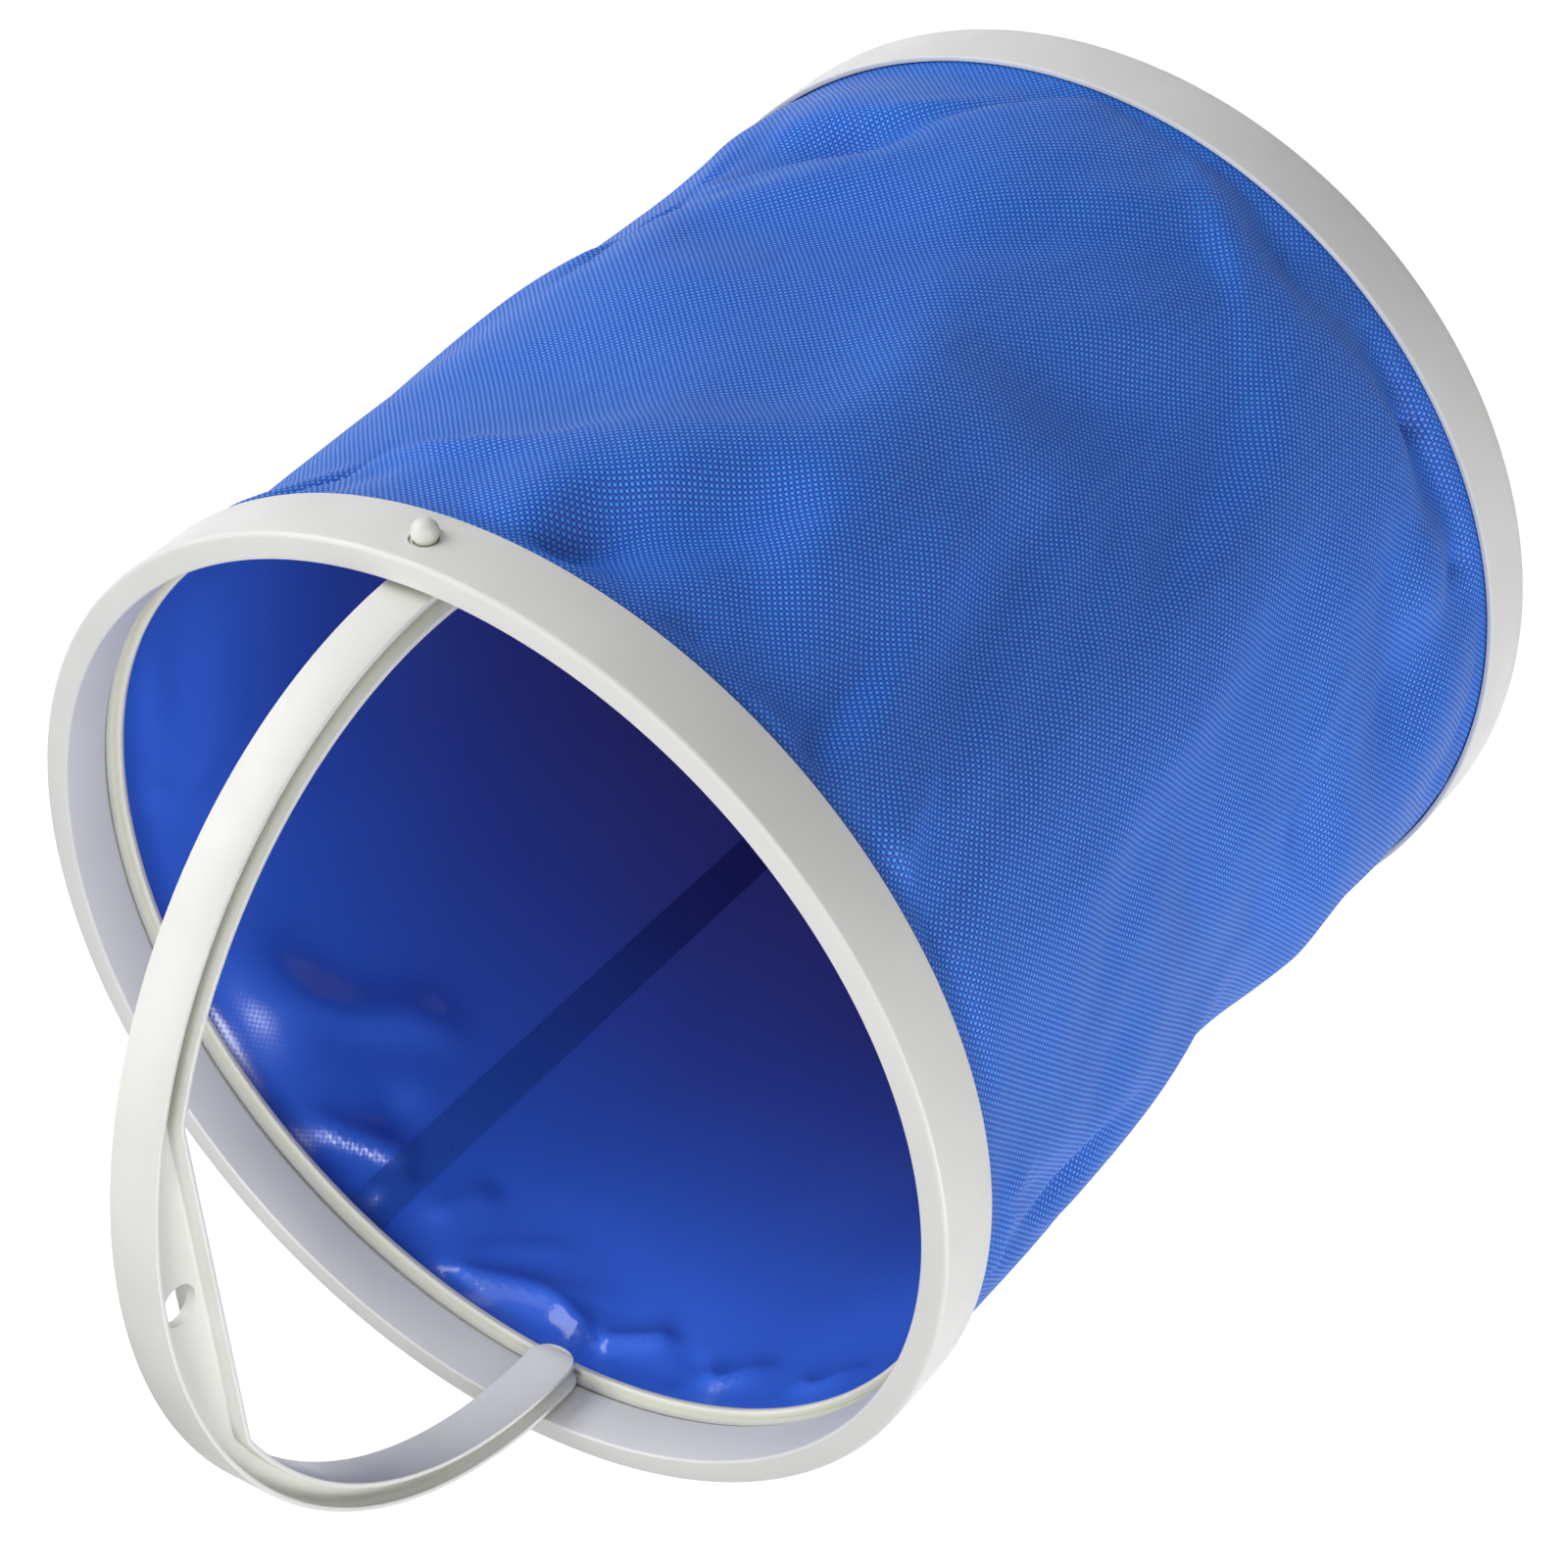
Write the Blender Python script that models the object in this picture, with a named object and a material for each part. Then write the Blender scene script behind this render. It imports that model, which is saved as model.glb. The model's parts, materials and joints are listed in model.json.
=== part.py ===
"""Collapsible camp bucket: two moulded rings, a coated fabric wall and floor, and a swinging handle.

Frame: metres, +Z up. The origin lies on the ground under the middle of the base ring, and the handle
turns about a line along X. Both rings have one section, drawn here as the base ring stands, with its
channel open upwards. The rim is that section turned over. A clamp ring in each channel grips the
fabric, and the handle's two pegs snap through bores in the rim.
"""

import math

import bmesh
import bpy
from mathutils import Matrix

# Whole bucket
RING_RADIUS = 0.125
BUCKET_HEIGHT = 0.260
SEGMENTS = 72
CLEARANCE = 0.0003
OVERRUN = 0.002

# Moulded rings
RING_HEIGHT = 0.0175
RING_WIDTH = 0.0065
OUTER_WALL = 0.0013
INNER_WALL = 0.0011
INNER_WALL_HEIGHT = 0.0132
FACE_THICKNESS = 0.0015
RING_OUTER_ROUND = 0.0012
RING_INNER_ROUND = 0.0006
RING_LIP_ROUND = 0.0004

# Clamp rings
PLUG_DEPTH = 0.0080
GROOVE_RECESS = 0.0008
GROOVE_NECK = 0.0022
FOOT_PROUD = 0.0013
BEAD_RADIUS = 0.00115
CLAMP_ROUND = 0.0004
NOTCH_CLEARANCE = 0.0005

# Coated fabric
FABRIC_THICKNESS = 0.0005
FABRIC_GAP = 0.00035
FABRIC_TAIL = 0.0075
FLOOR_TAIL = 0.0048
FLOOR_SAG = 0.004
PEG_MARGIN = 0.0008
TAPE_THICKNESS = 0.0003
FOLD_DEPTH = 0.005
FOLD_MARGIN = 0.018
FEET_MARGIN = 0.0007

# Handle, an I-section bent to an oval, with a straight grip
PIVOT_DROP = 0.009
HANDLE_HALF_SPAN = 0.1168
HANDLE_WIDTH = 0.0126
HANDLE_DEPTH = 0.0070
FLANGE_THICKNESS = 0.0013
WEB_THICKNESS = 0.0024
WEB_SETBACK = 0.0040
GRIP_HEIGHT = 0.0985
GRIP_DEPTH = 0.0160
LEG_STEPS = 9
GRIP_STEPS = 8
TAB_STEPS = 4
WEB_TAB_STEPS = 2
TAB_END_ANGLE = math.radians(80)
HANG_HOLE_RADIUS = 0.0048
PEG_RADIUS = 0.0025
PEG_BORE_CLEARANCE = 0.0003
PEG_HEAD_RADIUS = 0.0031
PEG_HEAD_HEIGHT = 0.0040
PEG_SIDES = 20
PEG_HEAD_STEPS = 4

# Worked out from the sizes above: radii from the outside in, then heights from the ground
RING_INNER_RADIUS = RING_RADIUS - RING_WIDTH
CHANNEL_OUTER = RING_RADIUS - OUTER_WALL
CHANNEL_INNER = RING_INNER_RADIUS + INNER_WALL
FABRIC_OUTER = CHANNEL_OUTER - FABRIC_GAP
FABRIC_INNER = FABRIC_OUTER - FABRIC_THICKNESS
CLAMP_OUTER = FABRIC_INNER - CLEARANCE
FLOOR_FLANGE_INNER = CHANNEL_INNER + CLEARANCE
FLOOR_FLANGE_OUTER = FLOOR_FLANGE_INNER + FABRIC_THICKNESS
BEAD_INNER = RING_INNER_RADIUS - FOOT_PROUD
FLOOR_LEVEL = INNER_WALL_HEIGHT + CLEARANCE
FOOT_LEVEL = FLOOR_LEVEL + FABRIC_THICKNESS + CLEARANCE
FOOT_TOP = FOOT_LEVEL + GROOVE_NECK + BEAD_RADIUS + BEAD_RADIUS
PIVOT_HEIGHT = BUCKET_HEIGHT - PIVOT_DROP
HANDLE_RISE = GRIP_HEIGHT + GRIP_DEPTH
WALL_LOW = FOOT_LEVEL - FABRIC_TAIL
WALL_HIGH = PIVOT_HEIGHT - PEG_RADIUS - PEG_MARGIN
FREE_LOW = FOOT_TOP + FEET_MARGIN
FREE_HIGH = BUCKET_HEIGHT - FREE_LOW

# Heights of the wall's rings of points, as shares of its free height between the clamp rings
WALL_ROW_SHARES = (0.0, 0.10, 0.32, 0.60, 0.84, 1.0)

# Radii of the floor's rings of points, as shares of the ring's inner radius
FLOOR_RING_SHARES = (1.0, 0.72, 0.40, 0.0)

# The seam tape covers one column of the wall's facets: its number, counted from +X
TAPE_COLUMN = 29

# Main folds of the wall: middle as a share of the turn, middle as a share of the free height,
# half width as a share of the turn, half height as a share of the free height, and depth share,
# which is inwards where it is positive
FOLD_SHARES = (
    (-0.119, 0.64, 0.045, 0.40, 0.70),
    (-0.022, 0.68, 0.050, 0.30, 0.25),
    (-0.261, 0.59, 0.050, 0.34, 0.40),
    (0.128, 0.50, 0.045, 0.24, 0.45),
    (0.111, 0.88, 0.042, 0.16, 0.70),
    (-0.278, 0.26, 0.055, 0.10, 0.45),
    (-0.161, 0.14, 0.110, 0.08, -0.40),
    (-0.311, 0.08, 0.060, 0.08, -0.40),
    (0.083, 0.30, 0.040, 0.10, 0.45),
    (0.044, 0.14, 0.055, 0.08, -0.25),
    (0.233, 0.55, 0.055, 0.36, 0.40),
    (0.333, 0.88, 0.040, 0.12, 0.50),
    (0.480, 0.50, 0.055, 0.34, 0.35),
    (0.617, 0.50, 0.055, 0.34, 0.40),
)

# Edges sharper than this stay sharp in the shading
SHARP_ANGLE = math.radians(35)

# Colours and finishes: colour, roughness
RING_WHITE = ((0.80, 0.81, 0.78), 0.42)
CLAMP_CREAM = ((0.79, 0.79, 0.72), 0.45)
HANDLE_WHITE = ((0.84, 0.84, 0.80), 0.40)
WALL_BLUE = ((0.020, 0.105, 0.560), 0.55)
TAPE_NAVY = ((0.008, 0.030, 0.240), 0.35)
FLOOR_BLUE = ((0.015, 0.080, 0.470), 0.40)


def clear_scene():
    """Remove every object that the file opened with."""
    for item in list(bpy.data.objects):
        bpy.data.objects.remove(item, do_unlink=True)


def finish(name, colour, roughness):
    """Return a plain plastic or coated-cloth material."""
    material = bpy.data.materials.new(name)
    material.use_nodes = True
    shader = material.node_tree.nodes["Principled BSDF"]
    shader.inputs["Base Color"].default_value = (*colour, 1.0)
    shader.inputs["Roughness"].default_value = roughness
    shader.inputs["Metallic"].default_value = 0.0
    return material


def add_part(name, bm, look):
    """Turn a bmesh into a named object in the scene, faces out and shaded smooth up to its edges."""
    bmesh.ops.remove_doubles(bm, verts=bm.verts, dist=CLEARANCE / SEGMENTS)
    bmesh.ops.recalc_face_normals(bm, faces=bm.faces)
    mesh = bpy.data.meshes.new(name)
    bm.to_mesh(mesh)
    bm.free()
    mesh.shade_smooth()
    mesh.set_sharp_from_angle(angle=SHARP_ANGLE)
    part = bpy.data.objects.new(name, mesh)
    bpy.context.collection.objects.link(part)
    if look is not None:
        mesh.materials.append(finish(name, *look))
    return part


def boolean(part, operation, tool):
    """Cut a tool from a part, or weld it on, and hide the tool as a guide."""
    modifier = part.modifiers.new(tool.name, "BOOLEAN")
    modifier.operation = operation
    modifier.solver = "EXACT"
    modifier.object = tool
    tool.hide_render = True
    tool.display_type = "WIRE"


def arc(radius, middle_r, middle_z, start, end, steps):
    """Return the points of an arc in the section plane, its angles in degrees."""
    angles = [math.radians(start + (end - start) * step / steps) for step in range(steps + 1)]
    return [(middle_r + radius * math.cos(turn), middle_z + radius * math.sin(turn)) for turn in angles]


def turned_over(section):
    """Return a base ring's section as the rim has it, upside down at the bucket's top."""
    return [(r, BUCKET_HEIGHT - z) for r, z in section]


def turned(section, closed=True):
    """Spin a section round Z. An open section starts and ends on the axis."""
    bm = bmesh.new()
    points = [bm.verts.new((r, 0.0, z)) for r, z in section]
    edges = [bm.edges.new(pair) for pair in zip(points, points[1:])]
    if closed:
        edges.append(bm.edges.new((points[-1], points[0])))
    bmesh.ops.spin(bm, geom=points + edges, cent=(0.0, 0.0, 0.0), axis=(0.0, 0.0, 1.0),
                   angle=math.tau, steps=SEGMENTS, use_merge=True)
    return bm


def turned_facet(section, column):
    """Spin a closed section through one facet of the whole turn, and leave its two ends closed."""
    facet = math.tau / SEGMENTS
    start = column * facet
    bm = bmesh.new()
    points = [bm.verts.new((r * math.cos(start), r * math.sin(start), z)) for r, z in section]
    face = bm.faces.new(points)
    bmesh.ops.spin(bm, geom=points + list(bm.edges) + [face], cent=(0.0, 0.0, 0.0), axis=(0.0, 0.0, 1.0),
                   angle=facet, steps=1)
    return bm


def channel_section():
    """Section of a moulded ring: outer wall, flat face on the ground, and a lower inner wall."""
    inner, outer, lip = RING_INNER_RADIUS, RING_RADIUS, RING_LIP_ROUND
    round_out, round_in = RING_OUTER_ROUND, RING_INNER_ROUND
    section = arc(round_in, inner + round_in, round_in, 180, 270, 2)
    section += arc(round_out, outer - round_out, round_out, 270, 360, 3)
    section += [(outer, RING_HEIGHT - lip), (outer - lip, RING_HEIGHT), (CHANNEL_OUTER, RING_HEIGHT)]
    section += [(CHANNEL_OUTER, FACE_THICKNESS), (CHANNEL_INNER, FACE_THICKNESS)]
    section += [(CHANNEL_INNER, INNER_WALL_HEIGHT), (inner + lip, INNER_WALL_HEIGHT)]
    section += [(inner, INNER_WALL_HEIGHT - lip)]
    return section


def clamp_section(plug_inner):
    """Section of a clamp ring: a plug in the channel, and a foot whose bead shows inside the bucket."""
    bead_middle = FOOT_TOP - BEAD_RADIUS
    neck = RING_INNER_RADIUS + GROOVE_RECESS
    section = [(plug_inner, FOOT_LEVEL - PLUG_DEPTH), (CLAMP_OUTER, FOOT_LEVEL - PLUG_DEPTH)]
    section += [(CLAMP_OUTER, FOOT_TOP - CLAMP_ROUND), (CLAMP_OUTER - CLAMP_ROUND, FOOT_TOP)]
    section += arc(BEAD_RADIUS, BEAD_INNER + BEAD_RADIUS, bead_middle, 90, 270, 4)
    section += [(neck, FOOT_LEVEL + GROOVE_NECK), (neck, FOOT_LEVEL), (plug_inner, FOOT_LEVEL)]
    return section


def peg_cutter(name, radius):
    """A rod along X through both sides of the rim, for bores and notches."""
    bm = bmesh.new()
    reach = RING_RADIUS + OVERRUN
    place = Matrix.Translation((0.0, 0.0, PIVOT_HEIGHT)) @ Matrix.Rotation(math.pi / 2, 4, "Y")
    bmesh.ops.create_cone(bm, cap_ends=True, segments=PEG_SIDES, radius1=radius, radius2=radius,
                          depth=reach + reach, matrix=place)
    return add_part(name, bm, None)


def slot_cutter(name, half_width):
    """A bar along X from the pivot line up past the clamp ring's edge."""
    bm = bmesh.new()
    reach = RING_RADIUS + OVERRUN
    rise = PIVOT_DROP
    size = Matrix.Diagonal((reach + reach, half_width + half_width, rise, 1.0))
    middle = Matrix.Translation((0.0, 0.0, PIVOT_HEIGHT + rise / 2))
    bmesh.ops.create_cube(bm, size=1.0, matrix=middle @ size)
    return add_part(name, bm, None)


def build_rings():
    """The base ring, the rim and the clamp ring in each."""
    add_part("base_channel", turned(channel_section()), RING_WHITE)
    rim = add_part("rim_channel", turned(turned_over(channel_section())), RING_WHITE)
    boolean(rim, "DIFFERENCE", peg_cutter("peg_bores", PEG_RADIUS + PEG_BORE_CLEARANCE))

    add_part("base_clamp_ring", turned(clamp_section(FLOOR_FLANGE_OUTER + CLEARANCE)), CLAMP_CREAM)
    section = turned_over(clamp_section(CHANNEL_INNER + CLEARANCE))
    clamp = add_part("rim_clamp_ring", turned(section), CLAMP_CREAM)
    notch = PEG_RADIUS + NOTCH_CLEARANCE
    boolean(clamp, "DIFFERENCE", peg_cutter("peg_notch_rounds", notch))
    boolean(clamp, "DIFFERENCE", slot_cutter("peg_notch_slots", notch))


def smooth_step(share):
    """Ease from 0 to 1."""
    share = min(max(share, 0.0), 1.0)
    return share * share * (3 - 2 * share)


def fold_depth(turn, height):
    """How far the wall's folds draw it inwards at a share of the turn and a height."""
    free = FREE_HIGH - FREE_LOW
    reach = min(height - FREE_LOW, FREE_HIGH - height)
    held = smooth_step(reach / FOLD_MARGIN)
    share_up = (height - FREE_LOW) / free
    depth = 0.0
    for middle, level, half_width, half_height, fold in FOLD_SHARES:
        around = (turn - middle + 0.5) % 1.0 - 0.5
        spread = (around / half_width) ** 2 + ((share_up - level) / half_height) ** 2
        depth += fold * math.exp(-spread)
    return FOLD_DEPTH * held * depth


def fold_in(bm):
    """Move a turned fabric shape's points inwards by the wall's folds."""
    for point in bm.verts:
        x, y, z = point.co
        radius = math.hypot(x, y)
        scale = (radius - fold_depth(math.atan2(y, x) / math.tau, z)) / radius
        point.co = (x * scale, y * scale, z)
    return bm


def wall_rows():
    """Heights of the rows of points on the wall between the two clamp rings."""
    return [FREE_LOW + share * (FREE_HIGH - FREE_LOW) for share in WALL_ROW_SHARES]


def build_fabric():
    """The wall, its inside seam tape, and the floor with its clamped flange."""
    rows = wall_rows()
    heights = [WALL_LOW] + rows + [WALL_HIGH]
    section = [(FABRIC_OUTER, z) for z in heights] + [(FABRIC_INNER, z) for z in reversed(heights)]
    add_part("wall_fabric", fold_in(turned(section)), WALL_BLUE)

    tape_outer = FABRIC_INNER - CLEARANCE
    tape_inner = tape_outer - TAPE_THICKNESS
    section = [(tape_outer, z) for z in rows] + [(tape_inner, z) for z in reversed(rows)]
    add_part("wall_seam_tape", fold_in(turned_facet(section, TAPE_COLUMN)), TAPE_NAVY)

    add_part("floor_fabric", turned(floor_section(), closed=False), FLOOR_BLUE)


def floor_section():
    """Section of the floor: a sagging disc that turns down over the base ring's inner wall."""
    low = FOOT_LEVEL - FLOOR_TAIL
    top_level = FLOOR_LEVEL + FABRIC_THICKNESS
    radii = [RING_INNER_RADIUS * share for share in FLOOR_RING_SHARES]
    sags = [FLOOR_SAG * (1 - (radius / RING_INNER_RADIUS) ** 2) for radius in radii]
    top = [(radius, top_level - sag) for radius, sag in zip(radii, sags)]
    bottom = [(radius, FLOOR_LEVEL - sag) for radius, sag in zip(radii, sags)]
    flange = [(FLOOR_FLANGE_INNER, FLOOR_LEVEL), (FLOOR_FLANGE_INNER, low)]
    flange += [(FLOOR_FLANGE_OUTER, low), (FLOOR_FLANGE_OUTER, top_level)]
    return list(reversed(bottom)) + flange + top


def handle_turns():
    """Angles of the handle's stations from the +X leg over the grip to the -X leg."""
    corner = math.asin(GRIP_HEIGHT / (HANDLE_RISE - HANDLE_DEPTH))
    leg = [corner * step / LEG_STEPS for step in range(LEG_STEPS)]
    grip = [corner + (math.pi - corner - corner) * step / GRIP_STEPS for step in range(GRIP_STEPS + 1)]
    return leg + grip + [math.pi - turn for turn in reversed(leg)]


def oval_line(turn):
    """The four points of the I-section's lines at an angle of the oval, from the outer face inwards."""
    free = HANDLE_RISE
    limits = (free, free, GRIP_HEIGHT + FLANGE_THICKNESS, GRIP_HEIGHT)
    points = []
    for inset, limit in zip(flange_insets(), limits):
        rise = min((HANDLE_RISE - inset) * math.sin(turn), limit)
        points.append(((HANDLE_HALF_SPAN - inset) * math.cos(turn), PIVOT_HEIGHT + rise))
    return points


def flange_insets():
    """Insets of the outer flange's two faces and the inner flange's two faces from the handle's outside."""
    return 0.0, FLANGE_THICKNESS, HANDLE_DEPTH - FLANGE_THICKNESS, HANDLE_DEPTH


def handle_stations():
    """The lines of the I-section along the handle, each with the share of the full width it has there."""
    stations = [(oval_line(turn), 1.0) for turn in handle_turns()]
    for step in range(1, TAB_STEPS + 1):
        angle = TAB_END_ANGLE * step / TAB_STEPS
        level = PIVOT_HEIGHT - HANDLE_WIDTH / 2 * math.sin(angle)
        tab = [(HANDLE_HALF_SPAN - inset, level) for inset in flange_insets()]
        stations.insert(0, (tab, math.cos(angle)))
        stations.append(([(-x, z) for x, z in tab], math.cos(angle)))
    return stations


def handle_mesh():
    """Join the I-sections. Past the web's ends only the two flanges run on, as round tabs."""
    half_width = HANDLE_WIDTH / 2
    web_low = WEB_SETBACK - half_width
    web_high = web_low + WEB_THICKNESS
    outline = ((0, -half_width), (0, half_width), (1, half_width), (1, web_high),
               (2, web_high), (2, half_width), (3, half_width), (3, -half_width),
               (2, -half_width), (2, web_low), (1, web_low), (1, -half_width))
    outer_ring = (0, 1, 2, 3, 10, 11)
    inner_ring = (4, 5, 6, 7, 8, 9)
    web_ring = (3, 4, 9, 10)

    bm = bmesh.new()
    loops = []
    for points, share in handle_stations():
        places = [(points[line][0], side * share, points[line][1]) for line, side in outline]
        loops.append([bm.verts.new(place) for place in places])
    web_start = TAB_STEPS - WEB_TAB_STEPS
    web_end = len(loops) - 1 - web_start
    for number in range(len(loops) - 1):
        with_web = web_start <= number < web_end
        rings = (tuple(range(len(outline))),) if with_web else (outer_ring, inner_ring)
        first, second = loops[number], loops[number + 1]
        for ring in rings:
            for corner in range(len(ring)):
                here, before = ring[corner], ring[corner - 1]
                bm.faces.new((first[before], first[here], second[here], second[before]))
    for loop in (loops[web_start], loops[web_end]):
        bm.faces.new([loop[corner] for corner in web_ring])
    for loop in (loops[0], loops[-1]):
        for ring in (outer_ring, inner_ring):
            bm.faces.new([loop[corner] for corner in ring])
    return bm


def peg(side):
    """A snap peg with a domed head, rooted in the outer flange on the +X or -X side."""
    root = HANDLE_HALF_SPAN - FLANGE_THICKNESS / 2
    head = RING_RADIUS + CLEARANCE
    outline = [(root, 0.0), (root, PEG_RADIUS), (head, PEG_RADIUS)]
    for step in range(PEG_HEAD_STEPS):
        angle = math.pi / 2 * step / PEG_HEAD_STEPS
        outline.append((head + PEG_HEAD_HEIGHT * math.sin(angle), PEG_HEAD_RADIUS * math.cos(angle)))
    outline.append((head + PEG_HEAD_HEIGHT, 0.0))
    bm = bmesh.new()
    points = [bm.verts.new((side * x, 0.0, PIVOT_HEIGHT + radius)) for x, radius in outline]
    edges = [bm.edges.new(pair) for pair in zip(points, points[1:])]
    bmesh.ops.spin(bm, geom=points + edges, cent=(0.0, 0.0, PIVOT_HEIGHT), axis=(1.0, 0.0, 0.0),
                   angle=math.tau, steps=PEG_SIDES, use_merge=True)
    return bm


def hanging_hole():
    """A rod along Y through the middle of the grip's web."""
    low = GRIP_HEIGHT + FLANGE_THICKNESS
    high = HANDLE_RISE - FLANGE_THICKNESS
    bm = bmesh.new()
    middle = Matrix.Translation((0.0, 0.0, PIVOT_HEIGHT + (low + high) / 2))
    place = middle @ Matrix.Rotation(math.pi / 2, 4, "X")
    bmesh.ops.create_cone(bm, cap_ends=True, segments=PEG_SIDES, radius1=HANG_HOLE_RADIUS,
                          radius2=HANG_HOLE_RADIUS, depth=HANDLE_WIDTH, matrix=place)
    return add_part("hanging_hole", bm, None)


def build_handle():
    """The handle, one moulding: two flanges, the web between them, the hanging hole and two pegs."""
    handle = add_part("handle", handle_mesh(), HANDLE_WHITE)
    boolean(handle, "UNION", add_part("peg_plus_x", peg(1), None))
    boolean(handle, "UNION", add_part("peg_minus_x", peg(-1), None))
    boolean(handle, "DIFFERENCE", hanging_hole())


def main():
    """Build the whole bucket."""
    clear_scene()
    build_rings()
    build_fabric()
    build_handle()


main()
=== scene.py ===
"""Looks of the collapsible camp bucket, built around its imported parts.

Frame: metres, +Z up. The origin lies on the ground under the middle of the base ring, and the handle
turns about a line along X. Azimuths are counted in degrees from +X towards +Y, heights from the ground.
"""

import json
import logging
import math
from dataclasses import dataclass
from enum import Enum
from typing import Any, ClassVar, Iterable, Sequence

import bmesh
import bpy
import numpy as np
from mathutils import Matrix, Vector


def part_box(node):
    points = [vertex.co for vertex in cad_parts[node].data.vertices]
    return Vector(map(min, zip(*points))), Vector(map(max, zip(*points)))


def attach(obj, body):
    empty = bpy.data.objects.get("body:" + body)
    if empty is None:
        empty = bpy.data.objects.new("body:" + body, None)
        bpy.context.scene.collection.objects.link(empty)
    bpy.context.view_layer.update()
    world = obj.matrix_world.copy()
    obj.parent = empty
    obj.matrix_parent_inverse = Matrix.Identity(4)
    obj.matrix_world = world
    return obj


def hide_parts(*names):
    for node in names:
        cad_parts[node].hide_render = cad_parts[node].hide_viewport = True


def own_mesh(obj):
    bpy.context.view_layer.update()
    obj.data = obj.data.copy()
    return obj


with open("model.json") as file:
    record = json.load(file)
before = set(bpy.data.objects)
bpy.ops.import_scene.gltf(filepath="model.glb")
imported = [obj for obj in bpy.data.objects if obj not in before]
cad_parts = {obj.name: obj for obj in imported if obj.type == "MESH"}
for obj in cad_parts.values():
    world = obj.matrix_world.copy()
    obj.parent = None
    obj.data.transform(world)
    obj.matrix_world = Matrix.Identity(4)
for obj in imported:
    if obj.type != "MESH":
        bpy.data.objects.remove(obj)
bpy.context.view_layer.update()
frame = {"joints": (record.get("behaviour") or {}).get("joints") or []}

LOG = logging.getLogger("bucket")
MM = 0.001
SAME_PLACE = 0.001 * MM
WEAVE_MAP = "weave"
SIDES = (1, -1)

Point2 = tuple[float, float]
Point3 = tuple[float, float, float]
Colour = tuple[float, float, float]
Socket = Any


class End(Enum):
    """Which end of the bucket a ring belongs to."""

    BASE = "base"
    RIM = "rim"


class Edge(Enum):
    """How a crease runs across its line."""

    SOFT = "soft"
    SHARP = "sharp"


class Along(Enum):
    """Which way a rod lies. The value is the axis that a standing rod is turned about to lie so."""

    X = "Y"
    Y = "X"


@dataclass(frozen=True)
class MainSizes:
    """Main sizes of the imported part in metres, which every piece here is built on.

    The wall runs from wall_low to wall_high, and from free_low to free_high no clamp ring holds it.
    Travel is how far the rim slides down.
    """

    ring_radius: float
    ring_height: float
    height: float
    wall_low: float
    wall_high: float
    free_low: float
    free_high: float
    pivot_height: float
    travel: float

    @classmethod
    def read(cls) -> "MainSizes":
        """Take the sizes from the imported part's boxes and joints.

        Returns:
            The main sizes, in metres.
        """
        joints = {joint["name"]: joint for joint in frame["joints"]}
        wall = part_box("wall_fabric")
        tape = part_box("wall_seam_tape")
        return cls(
            ring_radius=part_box("base_channel")[1].x,
            ring_height=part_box("base_channel")[1].z,
            height=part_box("rim_channel")[1].z,
            wall_low=wall[0].z,
            wall_high=wall[1].z,
            free_low=tape[0].z,
            free_high=tape[1].z,
            pivot_height=joints["handle_swing"]["pos_m"][2],
            travel=-joints["collapse"]["range_m"][0],
        )


def arc(radius: float, middle: Point2, start: float, end: float, steps: int) -> list[Point2]:
    """Points of an arc in a section's plane.

    Args:
        radius: Radius of the arc.
        middle: Its centre, radius and height.
        start: First angle in degrees.
        end: Last angle in degrees.
        steps: Number of straight stretches.

    Returns:
        The points from start to end.
    """
    turns = [math.radians(start + (end - start) * step / steps) for step in range(steps + 1)]
    return [(middle[0] + radius * math.cos(turn), middle[1] + radius * math.sin(turn)) for turn in turns]


def smooth_step(share: np.ndarray) -> np.ndarray:
    """Ease from 0 to 1."""
    share = np.clip(share, 0.0, 1.0)
    return share * share * (3.0 - 2.0 * share)


def new_object(name: str, mesh: bpy.types.Mesh) -> bpy.types.Object:
    """Put a mesh into the scene as an object at the origin.

    Args:
        name: Name of the object and its mesh.
        mesh: The finished mesh.

    Returns:
        The new object.
    """
    mesh.name = name
    piece = bpy.data.objects.new(name, mesh)
    bpy.context.scene.collection.objects.link(piece)
    return piece


def drop(*items: bpy.types.Object) -> None:
    """Remove helper objects from the file."""
    for item in items:
        bpy.data.objects.remove(item, do_unlink=True)


def from_bmesh(name: str, bm: bmesh.types.BMesh) -> bpy.types.Object:
    """Put a bmesh into the scene as an object at the origin, and free it.

    Args:
        name: Name of the new object.
        bm: The finished bmesh.

    Returns:
        The new object.
    """
    mesh = bpy.data.meshes.new(name)
    bm.to_mesh(mesh)
    bm.free()
    return new_object(name, mesh)


def baked(source: bpy.types.Object) -> bpy.types.Mesh:
    """Bake what an object's modifiers make of it.

    Args:
        source: The object, which stays as it is.

    Returns:
        A new plain mesh.
    """
    graph = bpy.context.evaluated_depsgraph_get()
    graph.update()
    return bpy.data.meshes.new_from_object(source.evaluated_get(graph), depsgraph=graph)


def facing_out(mesh: bpy.types.Mesh) -> bpy.types.Mesh:
    """Merge a closed mesh's doubles, drop what that leaves without a face, and turn its faces outwards.

    Args:
        mesh: The mesh to change.

    Returns:
        The same mesh.
    """
    bm = bmesh.new()
    bm.from_mesh(mesh)
    bmesh.ops.remove_doubles(bm, verts=bm.verts, dist=SAME_PLACE)
    bmesh.ops.delete(bm, geom=[edge for edge in bm.edges if not edge.link_faces], context="EDGES")
    bmesh.ops.recalc_face_normals(bm, faces=bm.faces)
    bm.to_mesh(mesh)
    bm.free()
    return mesh


def smooth_to(mesh: bpy.types.Mesh, degrees: float) -> None:
    """Shade a mesh smooth, with its edges sharper than an angle left sharp."""
    mesh.shade_smooth()
    mesh.set_sharp_from_angle(angle=math.radians(degrees))


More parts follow.
